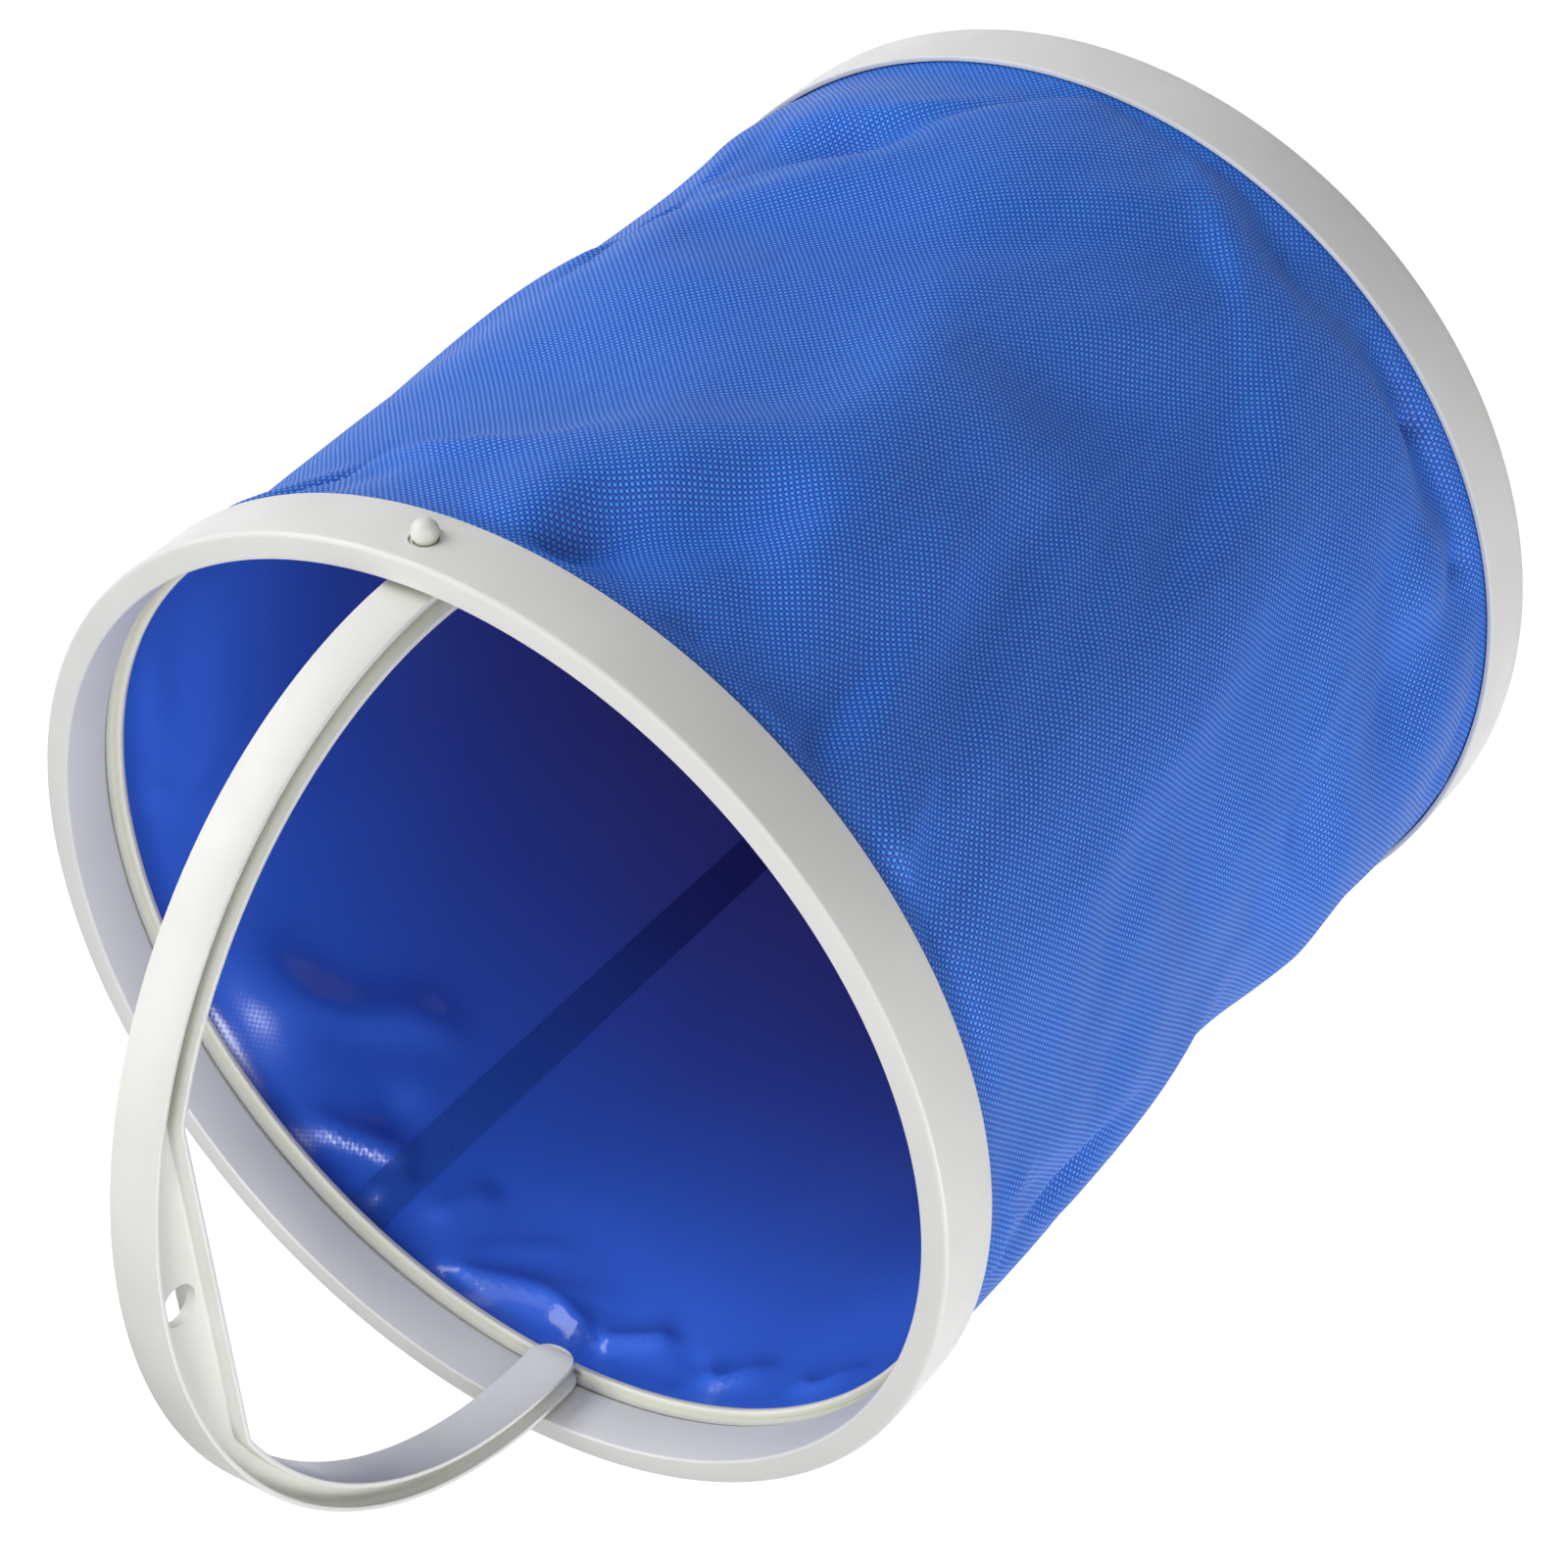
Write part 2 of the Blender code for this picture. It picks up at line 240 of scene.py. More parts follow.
def combined(name: str, base: bpy.types.Object,
             tools: Iterable[tuple[str, bpy.types.Object]]) -> bpy.types.Object:
    """Cut tools from an object or weld them on, and bake the result.

    Args:
        name: Name of the new object.
        base: The object to change, which is removed.
        tools: Pairs of Boolean operation and tool object, which are removed.

    Returns:
        The new object.
    """
    tools = list(tools)
    for operation, tool in tools:
        modifier = base.modifiers.new(tool.name, "BOOLEAN")
        modifier.operation = operation
        modifier.solver = "EXACT"
        modifier.object = tool
    mesh = baked(base)
    drop(base, *[tool for _, tool in tools])
    return new_object(name, mesh)


def rod(name: str, radius: float, middle: Point3, length: float, along: Along,
        sides: int) -> bpy.types.Object:
    """A closed rod that lies along an axis.

    Args:
        name: Name of the new object.
        radius: Radius of the rod.
        middle: Its middle.
        length: Its length.
        along: Which way it lies.
        sides: Number of its facets.

    Returns:
        The rod.
    """
    bm = bmesh.new()
    place = Matrix.Translation(middle) @ Matrix.Rotation(math.pi / 2, 4, along.value)
    bmesh.ops.create_cone(bm, cap_ends=True, segments=sides, radius1=radius, radius2=radius,
                          depth=length, matrix=place)
    return from_bmesh(name, bm)


def hand_over(piece: bpy.types.Object, node: str, body: str) -> None:
    """Say what a finished piece stands for and report it.

    Args:
        piece: The finished piece.
        node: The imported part's node that it replaces.
        body: The body that it rides on.
    """
    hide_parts(node)
    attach(piece, body)
    LOG.info("%s: %d faces", piece.name, len(piece.data.polygons))


class Graph:
    """Short way to write a material's nodes."""

    def __init__(self, name: str) -> None:
        """Start a material with its Principled shader.

        Args:
            name: Name of the material.
        """
        self.material = bpy.data.materials.new(name)
        self.material.use_nodes = True
        self.tree = self.material.node_tree
        self.shader = self.tree.nodes["Principled BSDF"]

    def node(self, kind: str, **settings: Any) -> Any:
        """Add a node and set its properties.

        Args:
            kind: Blender's name of the node type.
            settings: Properties to set on the node.

        Returns:
            The new node.
        """
        made = self.tree.nodes.new(kind)
        for key, value in settings.items():
            setattr(made, key, value)
        return made

    def put(self, socket: Socket, value: Any) -> None:
        """Link a socket into an input, or set the input's own value.

        Args:
            socket: The input.
            value: An output to link to it, or its new value.
        """
        if isinstance(value, bpy.types.NodeSocket):
            self.tree.links.new(value, socket)
        else:
            socket.default_value = value

    def math(self, operation: str, first: Any, second: Any = 0.0, clamp: bool = False) -> Socket:
        """Add a Math node.

        Args:
            operation: Blender's name of the operation.
            first: First input, a socket or a number.
            second: Second input, a socket or a number.
            clamp: Whether the result is kept from 0 to 1.

        Returns:
            The node's result.
        """
        made = self.node("ShaderNodeMath", operation=operation, use_clamp=clamp)
        self.put(made.inputs[0], first)
        self.put(made.inputs[1], second)
        return made.outputs[0]

    def band(self, value: Any, low: float, high: float, to_low: float = 0.0,
             to_high: float = 1.0) -> Socket:
        """Map a range smoothly to another one.

        Args:
            value: The input.
            low: Input that gives to_low.
            high: Input that gives to_high.
            to_low: Result at low.
            to_high: Result at high.

        Returns:
            The mapped value.
        """
        made = self.node("ShaderNodeMapRange", interpolation_type="SMOOTHSTEP")
        for socket, item in zip(made.inputs, (value, low, high, to_low, to_high)):
            self.put(socket, item)
        return made.outputs[0]

    def mix(self, share: Any, first: Any, second: Any) -> Socket:
        """Mix two colours.

        Args:
            share: How much of the second colour shows.
            first: First colour or socket.
            second: Second colour or socket.

        Returns:
            The mixed colour.
        """
        made = self.node("ShaderNodeMix", data_type="RGBA")
        self.put(made.inputs["Factor"], share)
        self.put(made.inputs["A"], (*first, 1.0) if isinstance(first, tuple) else first)
        self.put(made.inputs["B"], (*second, 1.0) if isinstance(second, tuple) else second)
        return made.outputs["Result"]

    def noise(self, where: Socket, scale: float, detail: float = 2.0, roughness: float = 0.5) -> Socket:
        """Add a noise texture.

        Args:
            where: Coordinates that it is read at.
            scale: Features per metre.
            detail: Number of finer layers.
            roughness: How strongly the finer layers show.

        Returns:
            A value about 0.5.
        """
        made = self.node("ShaderNodeTexNoise")
        self.put(made.inputs["Vector"], where)
        made.inputs["Scale"].default_value = scale
        made.inputs["Detail"].default_value = detail
        made.inputs["Roughness"].default_value = roughness
        return made.outputs["Fac"]

    def bump(self, height: Socket, distance: float, strength: float, under: Socket | None = None) -> Socket:
        """Add a Bump node.

        Args:
            height: Height of the relief.
            distance: Its depth in metres.
            strength: Share of it that shows.
            under: Normal of a coarser relief below it.

        Returns:
            The new normal.
        """
        made = self.node("ShaderNodeBump")
        made.inputs["Strength"].default_value = strength
        made.inputs["Distance"].default_value = distance
        self.put(made.inputs["Height"], height)
        if under is not None:
            self.put(made.inputs["Normal"], under)
        return made.outputs["Normal"]

    def place(self) -> Socket:
        """Coordinates on the piece itself, in metres."""
        return self.node("ShaderNodeTexCoord").outputs["Object"]

    def vary(self, where: Socket, scale: float, low: float, high: float) -> Socket:
        """Vary a value in soft patches.

        Args:
            where: Coordinates that the patches are read at.
            scale: Patches per metre.
            low: Least value.
            high: Greatest value.

        Returns:
            The value.
        """
        return self.band(self.noise(where, scale, 4.0), 0.3, 0.7, low, high)

    def weave(self) -> tuple[Socket, Socket]:
        """Returns:
            The counts along and up the sheet, and a value from -1 to 1. It is 1 in the middle of one
            crossing and -1 in the middle of the next.
        """
        counts = self.node("ShaderNodeUVMap", uv_map=WEAVE_MAP).outputs["UV"]
        split = self.node("ShaderNodeSeparateXYZ")
        self.put(split.inputs[0], counts)
        waves = [self.math("COSINE", self.math("MULTIPLY", count, math.pi)) for count in split.outputs[:2]]
        return counts, self.math("MULTIPLY", *waves)

    def set(self, **values: Any) -> bpy.types.Material:
        """Set or link the shader's inputs by name, with _ for a space.

        Args:
            values: Input names and what they get.

        Returns:
            The finished material.
        """
        for key, value in values.items():
            socket = self.shader.inputs[key.replace("_", " ")]
            self.put(socket, (*value, 1.0) if isinstance(value, tuple) and len(value) == 3 else value)
        return self.material


@dataclass(frozen=True)
class PlasticFinish:
    """Satin moulded plastic with faint flow marks, fine grain and a few dark specks.

    Where another face stands close, as in a narrow groove, the colour is painted towards the warmer, darker
    corner colour as painted shade.
    The spread is what the waves take from the roughness and add to it.
    """

    name: str
    colour: Colour
    shade: Colour
    roughness: float
    speck_share: float = 0.25
    speck_scale: float = 75.0
    speck_radius: float = 0.020
    speck_strength: float = 0.7
    speck_colour: Colour = (0.20, 0.19, 0.15)
    # Painted shade: the colour that narrow grooves and close faces are painted towards.
    corner: Colour = (0.50, 0.50, 0.37)
    shade_reach: float = 6.0 * MM
    shade_share: float = 0.60
    shade_open: Point2 = (0.72, 0.20)
    shade_rays: int = 6
    flow_scale: float = 28.0
    flow_band: Point2 = (0.35, 0.70)
    wave_scale: float = 90.0
    wave_relief: float = 0.25 * MM
    wave_strength: float = 0.10
    grain_scale: float = 1500.0
    grain_relief: float = 0.03 * MM
    grain_strength: float = 0.25
    spread: Point2 = (0.05, 0.07)
    ior: float = 1.49

    def specked(self, graph: Graph, where: Socket, colour: Socket) -> Socket:
        """Put dark specks on a colour.

        Args:
            graph: The material's nodes.
            where: Coordinates on the piece.
            colour: The plain colour.

        Returns:
            The colour with its specks.
        """
        cells = graph.node("ShaderNodeTexVoronoi")
        graph.put(cells.inputs["Vector"], where)
        cells.inputs["Scale"].default_value = self.speck_scale
        chance = graph.node("ShaderNodeSeparateColor")
        graph.put(chance.inputs[0], cells.outputs["Color"])
        chosen = graph.math("LESS_THAN", chance.outputs[0], self.speck_share)
        near = graph.band(cells.outputs["Distance"], self.speck_radius, self.speck_radius * 0.4)
        speck = graph.math("MULTIPLY", chosen, near)
        return graph.mix(graph.math("MULTIPLY", speck, self.speck_strength), colour, self.speck_colour)

    def build(self) -> bpy.types.Material:
        """Make the material.

        Returns:
            The finished material.
        """
        graph = Graph(self.name)
        where = graph.place()
        flow = graph.band(graph.noise(where, self.flow_scale, 3.0), *self.flow_band)
        colour = graph.mix(flow, self.colour, self.shade)
        colour = self.specked(graph, where, colour)
        # Painted shade in grooves and between close faces, by how near other faces stand.
        near = graph.node("ShaderNodeAmbientOcclusion", samples=self.shade_rays)
        near.inputs["Distance"].default_value = self.shade_reach
        groove_shade_share = graph.band(near.outputs["AO"], *self.shade_open, 0.0, self.shade_share)
        colour = graph.mix(groove_shade_share, colour, self.corner)
        rough = graph.vary(where, self.wave_scale, self.roughness - self.spread[0],
                           self.roughness + self.spread[1])
        waves = graph.bump(graph.noise(where, self.wave_scale, 2.0), self.wave_relief, self.wave_strength)
        grain = graph.noise(where, self.grain_scale, 2.0)
        normal = graph.bump(grain, self.grain_relief, self.grain_strength, waves)
        return graph.set(Base_Color=colour, Roughness=rough, Normal=normal, IOR=self.ior)


@dataclass(frozen=True)
class ClothFinish:
    """Plain-woven coated cloth: painted sheen lightens the yarns that lie on top in turn, and painted
    shade darkens the gaps at their corners.

    Clouds shift the tone in broad patches, and streaks shift it along the yarns that run up the sheet.
    """

    name: str
    # The light colour is painted sheen on the yarns that lie on top; the gap colour is painted shade.
    light: Colour
    dark: Colour
    gap_shade: Colour
    crown: float = 0.7
    over_band: Point2 = (-0.35, 0.75)
    gap_shade_band: Point2 = (0.45, 0.10)
    relief: float = 0.24 * MM
    strength: float = 0.55
    over_height: float = 0.5
    cloud_scale: float = 14.0
    cloud_share: float = 0.25
    streak_scale: float = 0.9
    streak_stretch: float = 0.02
    streak_share: float = 0.35
    darkening: float = 0.30
    roughness: Point2 = (0.62, 0.42)
    ior: float = 1.33
    sheen: float = 0.04
    sheen_roughness: float = 0.45
    sheen_tint: Colour = (0.30, 0.50, 1.0)

    def build(self) -> bpy.types.Material:
        """Make the material.

        Returns:
            The finished material.
        """
        graph = Graph(self.name)
        counts, check = graph.weave()
        raised = graph.math("POWER", graph.math("ABSOLUTE", check), self.crown)
        over = graph.band(check, *self.over_band)

        clouds = graph.noise(graph.place(), self.cloud_scale, 3.0)
        stretch = graph.node("ShaderNodeMapping")
        graph.put(stretch.inputs["Vector"], counts)
        stretch.inputs["Scale"].default_value = (1.0, self.streak_stretch, 1.0)
        streaks = graph.noise(stretch.outputs[0], self.streak_scale, 1.0)
        shift = graph.math("ADD", graph.math("MULTIPLY", clouds, self.cloud_share),
                           graph.math("MULTIPLY", streaks, self.streak_share))
        lit = graph.math("ADD", over, graph.math("SUBTRACT", shift, self.darkening), clamp=True)
        # Painted sheen on the yarns that lie on top, varied in tone by clouds and streaks.
        colour = graph.mix(lit, self.dark, self.light)
        # Painted shade in the gaps at the yarns' corners.
        colour = graph.mix(graph.band(raised, *self.gap_shade_band), colour, self.gap_shade)

        height = graph.math("ADD", raised, graph.math("MULTIPLY", over, self.over_height))
        normal = graph.bump(height, self.relief, self.strength)
        rough = graph.band(over, 0.0, 1.0, *self.roughness)
        return graph.set(Base_Color=colour, Roughness=rough, Normal=normal, IOR=self.ior,
                         Sheen_Weight=self.sheen, Sheen_Roughness=self.sheen_roughness,
                         Sheen_Tint=self.sheen_tint)


@dataclass(frozen=True)
class FilmFinish:
    """Glossy waterproof film that shows the weave behind it as a faint relief.

    Deep in the bucket, where little light comes, it is painted darker and more violet as painted shade:
    the colour turns from the shade colour at the lower level to the lit one at the upper level, with a
    cloudy edge.
    """

    name: str
    colour: Colour
    # Painted shade: the colour deep in the bucket.
    depth_shade: Colour
    roughness: float
    relief: float = 0.10 * MM
    strength: float = 0.16
    weave_share: float = 0.5
    ripple_scale: float = 420.0
    shade_level: float = 60.0 * MM
    lit_level: float = 225.0 * MM
    cloud_scale: float = 10.0
    cloud_height: float = 50.0 * MM
    smear_scale: float = 55.0
    spread: Point2 = (0.04, 0.08)
    ior: float = 1.50

    def build(self) -> bpy.types.Material:
        """Make the material.

        Returns:
            The finished material.
        """
        graph = Graph(self.name)
        where = graph.place()
        _, check = graph.weave()
        ripple = graph.noise(where, self.ripple_scale, 3.0)
        height = graph.math("ADD", graph.math("MULTIPLY", check, self.weave_share), ripple)
        normal = graph.bump(height, self.relief, self.strength)

        upright = graph.node("ShaderNodeSeparateXYZ")
        graph.put(upright.inputs[0], where)
        clouds = graph.math("SUBTRACT", graph.noise(where, self.cloud_scale, 3.0), 0.5)
        level = graph.math("ADD", upright.outputs[2], graph.math("MULTIPLY", clouds, self.cloud_height))
        # Painted shade: darker and more violet lower in the bucket, where little light comes.
        colour = graph.mix(graph.band(level, self.shade_level, self.lit_level), self.depth_shade, self.colour)
        rough = graph.vary(where, self.smear_scale, self.roughness - self.spread[0],
                           self.roughness + self.spread[1])
        return graph.set(Base_Color=colour, Roughness=rough, Normal=normal, IOR=self.ior)


@dataclass(frozen=True)
class Finishes:
    """The bucket's finishes, one for each material."""

    ring: PlasticFinish = PlasticFinish("ring_plastic", (0.765, 0.765, 0.75), (0.735, 0.735, 0.72), 0.42)
    clamp: PlasticFinish = PlasticFinish("clamp_plastic", (0.77, 0.77, 0.69), (0.73, 0.73, 0.65), 0.42)
    handle: PlasticFinish = PlasticFinish("handle_plastic", (0.785, 0.785, 0.755), (0.755, 0.755, 0.715),
                                          0.40, speck_share=0.12)
    # The cloth's light colour is painted sheen on the yarns on top, and its gap colour is painted shade.
    cloth: ClothFinish = ClothFinish("wall_weave", (0.070, 0.370, 1.000), (0.016, 0.115, 0.720),
                                     (0.003, 0.022, 0.250))
    # The film's and the tape's second colours are painted shade for deep in the bucket.
    film: FilmFinish = FilmFinish("wall_film", (0.050, 0.165, 0.800), (0.060, 0.062, 0.330), 0.18)
    tape: FilmFinish = FilmFinish("seam_tape", (0.034, 0.120, 0.560), (0.022, 0.022, 0.170), 0.24)


class RingLathe:
    """A node tree that sweeps a ring's section round a circle."""

    NAME = "ring_lathe"

    def __init__(self) -> None:
        """Build the tree once, with named inputs for its sizes."""
        tree = bpy.data.node_groups.new(self.NAME, "GeometryNodeTree")
        face = tree.interface
        face.new_socket("Geometry", in_out="INPUT", socket_type="NodeSocketGeometry")
        self.section = face.new_socket("Section", in_out="INPUT", socket_type="NodeSocketObject").identifier
        self.radius = face.new_socket("Radius", in_out="INPUT", socket_type="NodeSocketFloat").identifier
        self.segments = face.new_socket("Segments", in_out="INPUT", socket_type="NodeSocketInt").identifier
        self.finish = face.new_socket("Finish", in_out="INPUT", socket_type="NodeSocketMaterial").identifier
        face.new_socket("Geometry", in_out="OUTPUT", socket_type="NodeSocketGeometry")
        nodes, links = tree.nodes, tree.links
        given, out = nodes.new("NodeGroupInput"), nodes.new("NodeGroupOutput")
        circle = nodes.new("GeometryNodeCurvePrimitiveCircle")
        info = nodes.new("GeometryNodeObjectInfo")
        sweep = nodes.new("GeometryNodeCurveToMesh")
        real = nodes.new("GeometryNodeRealizeInstances")
        dress = nodes.new("GeometryNodeSetMaterial")
        links.new(given.outputs["Section"], info.inputs["Object"])
        links.new(given.outputs["Radius"], circle.inputs["Radius"])
        links.new(given.outputs["Segments"], circle.inputs["Resolution"])
        links.new(circle.outputs["Curve"], sweep.inputs["Curve"])
        links.new(info.outputs["Geometry"], sweep.inputs["Profile Curve"])
        links.new(sweep.outputs["Mesh"], real.inputs["Geometry"])
        links.new(real.outputs["Geometry"], dress.inputs["Geometry"])
        links.new(given.outputs["Finish"], dress.inputs["Material"])
        links.new(dress.outputs["Geometry"], out.inputs["Geometry"])
        self.tree = tree

    def turn(self, name: str, section: Sequence[Point2], segments: int,
             finish: bpy.types.Material) -> bpy.types.Object:
        """Sweep a closed section round Z.

        Args:
            name: Name of the new object.
            section: Radius and height of each point.
            segments: Number of facets round the ring.
            finish: Material of the ring.

        Returns:
            The ring, a closed mesh with its faces out.
        """
        radius = max(point[0] for point in section)
        line = bpy.data.curves.new(name + "_section", "CURVE")
        line.dimensions = "3D"
        spline = line.splines.new("POLY")
        spline.points.add(len(section) - 1)
        for point, (r, z) in zip(spline.points, section):
            # The sweep stands a profile's Y downwards.
            point.co = (r - radius, -z, 0.0, 1.0)
        spline.use_cyclic_u = True
        profile = bpy.data.objects.new(name + "_section", line)
        carrier = bpy.data.objects.new(name + "_carrier", bpy.data.meshes.new(name + "_carrier"))
        for item in (profile, carrier):
            bpy.context.scene.collection.objects.link(item)
        modifier = carrier.modifiers.new(self.NAME, "NODES")
        modifier.node_group = self.tree
        modifier[self.section] = profile
        modifier[self.radius] = radius
        modifier[self.segments] = segments
        modifier[self.finish] = finish
        mesh = facing_out(baked(carrier))
        drop(profile, carrier)
        return new_object(name, mesh)


@dataclass
class Rings:
    """The two moulded rings and the clamp ring in each.

    Levels are those of the base; the rim has the same sections turned over. A clamp ring's plug fills the
    channel, and its beaded foot stands proud of the channel's inner wall, with a groove between both.
    """

    sizes: MainSizes
    lathe: RingLathe
    finishes: Finishes
    width: float = 6.5 * MM
    outer_wall: float = 1.3 * MM
    inner_wall: float = 1.1 * MM
    inner_height: float = 13.2 * MM
    face: float = 1.5 * MM
    outer_round: float = 1.2 * MM
    inner_round: float = 0.7 * MM
    lip_round: float = 0.30 * MM
    plug_depth: float = 8.0 * MM
    foot_level: float = 14.3 * MM
    neck: float = 2.2 * MM
    foot_top: float = 18.8 * MM
    foot_proud: float = 1.3 * MM
    bead: float = 0.80 * MM
    bead_line: float = 0.22 * MM
    groove_recess: float = 0.8 * MM
    clamp_gap: float = 2.45 * MM
    base_plug: float = 4.3 * MM
    rim_plug: float = 5.1 * MM
    bore_radius: float = 2.8 * MM
    seat_radius: float = 3.75 * MM
    seat_depth: float = 0.5 * MM
    notch_radius: float = 3.0 * MM
    segments: int = 288
    sides: int = 48
    sharp_from: float = 32.0

    def channel(self) -> list[Point2]:
        """Section of a moulded ring as the base has it, with small rounds on every edge.

        Returns:
            Radius and height of each point.
        """
        outer = self.sizes.ring_radius
        inner = outer - self.width
        top, low, lip = self.sizes.ring_height, self.inner_height, self.lip_round
        hollow_out, hollow_in = outer - self.outer_wall, inner + self.inner_wall
        tight = lip / 2
        section = arc(self.inner_round, (inner + self.inner_round, self.inner_round), 180, 270, 5)
        section += arc(self.outer_round, (outer - self.outer_round, self.outer_round), 270, 360, 7)
        section += arc(lip, (outer - lip, top - lip), 0, 90, 4)
        section += arc(tight, (hollow_out + tight, top - tight), 90, 180, 2)
        section += [(hollow_out, self.face), (hollow_in, self.face)]
        section += arc(tight, (hollow_in - tight, low - tight), 0, 90, 2)
        section += arc(lip, (inner + lip, low - lip), 90, 180, 4)
        return section

    def clamp(self, plug: float) -> list[Point2]:
        """Section of a clamp ring as the base has it.

        Args:
            plug: How far its plug's inner face lies inside the ring's outer face.

        Returns:
            Radius and height of each point.
        """
        ring = self.sizes.ring_radius
        outer, plug_in = ring - self.clamp_gap, ring - plug
        inner = ring - self.width - self.foot_proud
        neck = ring - self.width + self.groove_recess
        low, top, bead = self.foot_level, self.foot_top, self.bead
        foot = low + self.neck
        soft, line = self.lip_round, self.bead_line
        section = [(plug_in, low - self.plug_depth), (outer, low - self.plug_depth), (outer, top - soft)]
        section += arc(soft, (outer - soft, top - soft), 0, 90, 3)
        section += arc(bead, (inner + bead + line, top - bead), 90, 180, 5)
        section += [(inner + line, foot + bead + 2 * line), (inner, foot + bead + line)]
        section += arc(bead, (inner + bead, foot + bead), 180, 262, 6)
        section += [(neck, foot + line / 2), (neck, low), (plug_in, low)]
        return section

    def over(self, section: Sequence[Point2]) -> list[Point2]:
        """Turn a base section over, as the rim has it."""
        return [(r, self.sizes.height - z) for r, z in section]

    def peg_rods(self, name: str, radius: float, reach: float, inside: float) -> list[bpy.types.Object]:
        """Rods on both sides of the pivot line, to cut bores, seats and notches.

        Args:
            name: Start of their names.
            radius: Radius of each rod.
            reach: Outer end, from the middle of the bucket.
            inside: Inner end, from the middle of the bucket.

        Returns:
            The two rods.
        """
        level = self.sizes.pivot_height
        return [rod(f"{name}_{number}", radius, (side * (inside + reach) / 2, 0.0, level), reach - inside,
                    Along.X, self.sides) for number, side in enumerate(SIDES)]

    def slots(self) -> list[bpy.types.Object]:
        """Blocks that open the rim clamp's notches upwards.

        Returns:
            One block on each side.
        """
        made = []
        ring, level = self.sizes.ring_radius, self.sizes.pivot_height
        for number, side in enumerate(SIDES):
            bm = bmesh.new()
            size = Matrix.Diagonal((2 * self.width, 2 * self.notch_radius, self.plug_depth, 1.0))
            place = Matrix.Translation((side * (ring - self.width / 2), 0.0, level + self.plug_depth / 2))
            bmesh.ops.create_cube(bm, size=1.0, matrix=place @ size)
            made.append(from_bmesh(f"slot_{number}", bm))
        return made

    def build(self) -> None:
        """Make the four rings and set each on its body."""
        ring_finish, clamp_finish = self.finishes.ring.build(), self.finishes.clamp.build()
        outer, past = self.sizes.ring_radius, self.sizes.ring_radius + self.width
        through = outer - 2 * self.width
        base = self.lathe.turn("base_ring", self.channel(), self.segments, ring_finish)
        rim = self.lathe.turn("rim_blank", self.over(self.channel()), self.segments, ring_finish)
        cuts = self.peg_rods("bore", self.bore_radius, past, through)
        cuts += self.peg_rods("seat", self.seat_radius, past, outer - self.seat_depth)
        rim = combined("rim_ring", rim, [("DIFFERENCE", cut) for cut in cuts])

        base_clamp = self.lathe.turn("base_clamp", self.clamp(self.base_plug), self.segments, clamp_finish)
        section = self.over(self.clamp(self.rim_plug))
        rim_clamp = self.lathe.turn("clamp_blank", section, self.segments, clamp_finish)
        notches = self.peg_rods("notch", self.notch_radius, past, through) + self.slots()
        rim_clamp = combined("rim_clamp", rim_clamp, [("DIFFERENCE", cut) for cut in notches])

        plan = ((base, "base_channel", End.BASE, "ring_plastic"),
                (rim, "rim_channel", End.RIM, "ring_plastic"),
                (base_clamp, "base_clamp_ring", End.BASE, "clamp_plastic"),
                (rim_clamp, "rim_clamp_ring", End.RIM, "clamp_plastic"))
        for piece, node, end, slot in plan:
            smooth_to(piece.data, self.sharp_from)
            hand_over(piece, node, end.value)


@dataclass(frozen=True)
class Facet:
    """A stretch of the wall that lies flatter than the round tube, between two upright ridges.

    Its first and last azimuth are given at its upper and its lower edge, so that it can lean. Heights and
    fades are in millimetres, and the ridge is the softness of its two sides as a share of the radius.
    Past the farthest angle from its middle, in radians, it ends.
    """

    top: Point2
    bottom: Point2
    heights: Point2
    strength: float
    fades: Point2 = (34.0, 34.0)
    ridge: float = 0.006

    FARTHEST: ClassVar[float] = 1.2

    def depth(self, turn: np.ndarray, level: np.ndarray, radius: float) -> np.ndarray:
        """How far the facet draws the wall inwards.

        Args:
            turn: Azimuths in degrees.
            level: Heights in millimetres.
            radius: The tube's radius in millimetres.

        Returns:
            Depth in millimetres.
        """
        low, high = self.heights
        share = np.clip((level - low) / (high - low), 0.0, 1.0)
        first = self.bottom[0] + (self.top[0] - self.bottom[0]) * share
        last = self.bottom[1] + (self.top[1] - self.bottom[1]) * share
        half = np.radians((last - first) / 2)
        around = np.radians((turn - (first + last) / 2 + 180.0) % 360.0 - 180.0)
        chord = 1.0 - np.cos(half) / np.cos(np.clip(around, -self.FARTHEST, self.FARTHEST))
        chord = (chord + np.sqrt(chord ** 2 + self.ridge ** 2)) / 2
        chord *= np.abs(around) < self.FARTHEST
        fading = smooth_step((level - low) / self.fades[0]) * smooth_step((high - level) / self.fades[1])
        return self.strength * radius * chord * fading


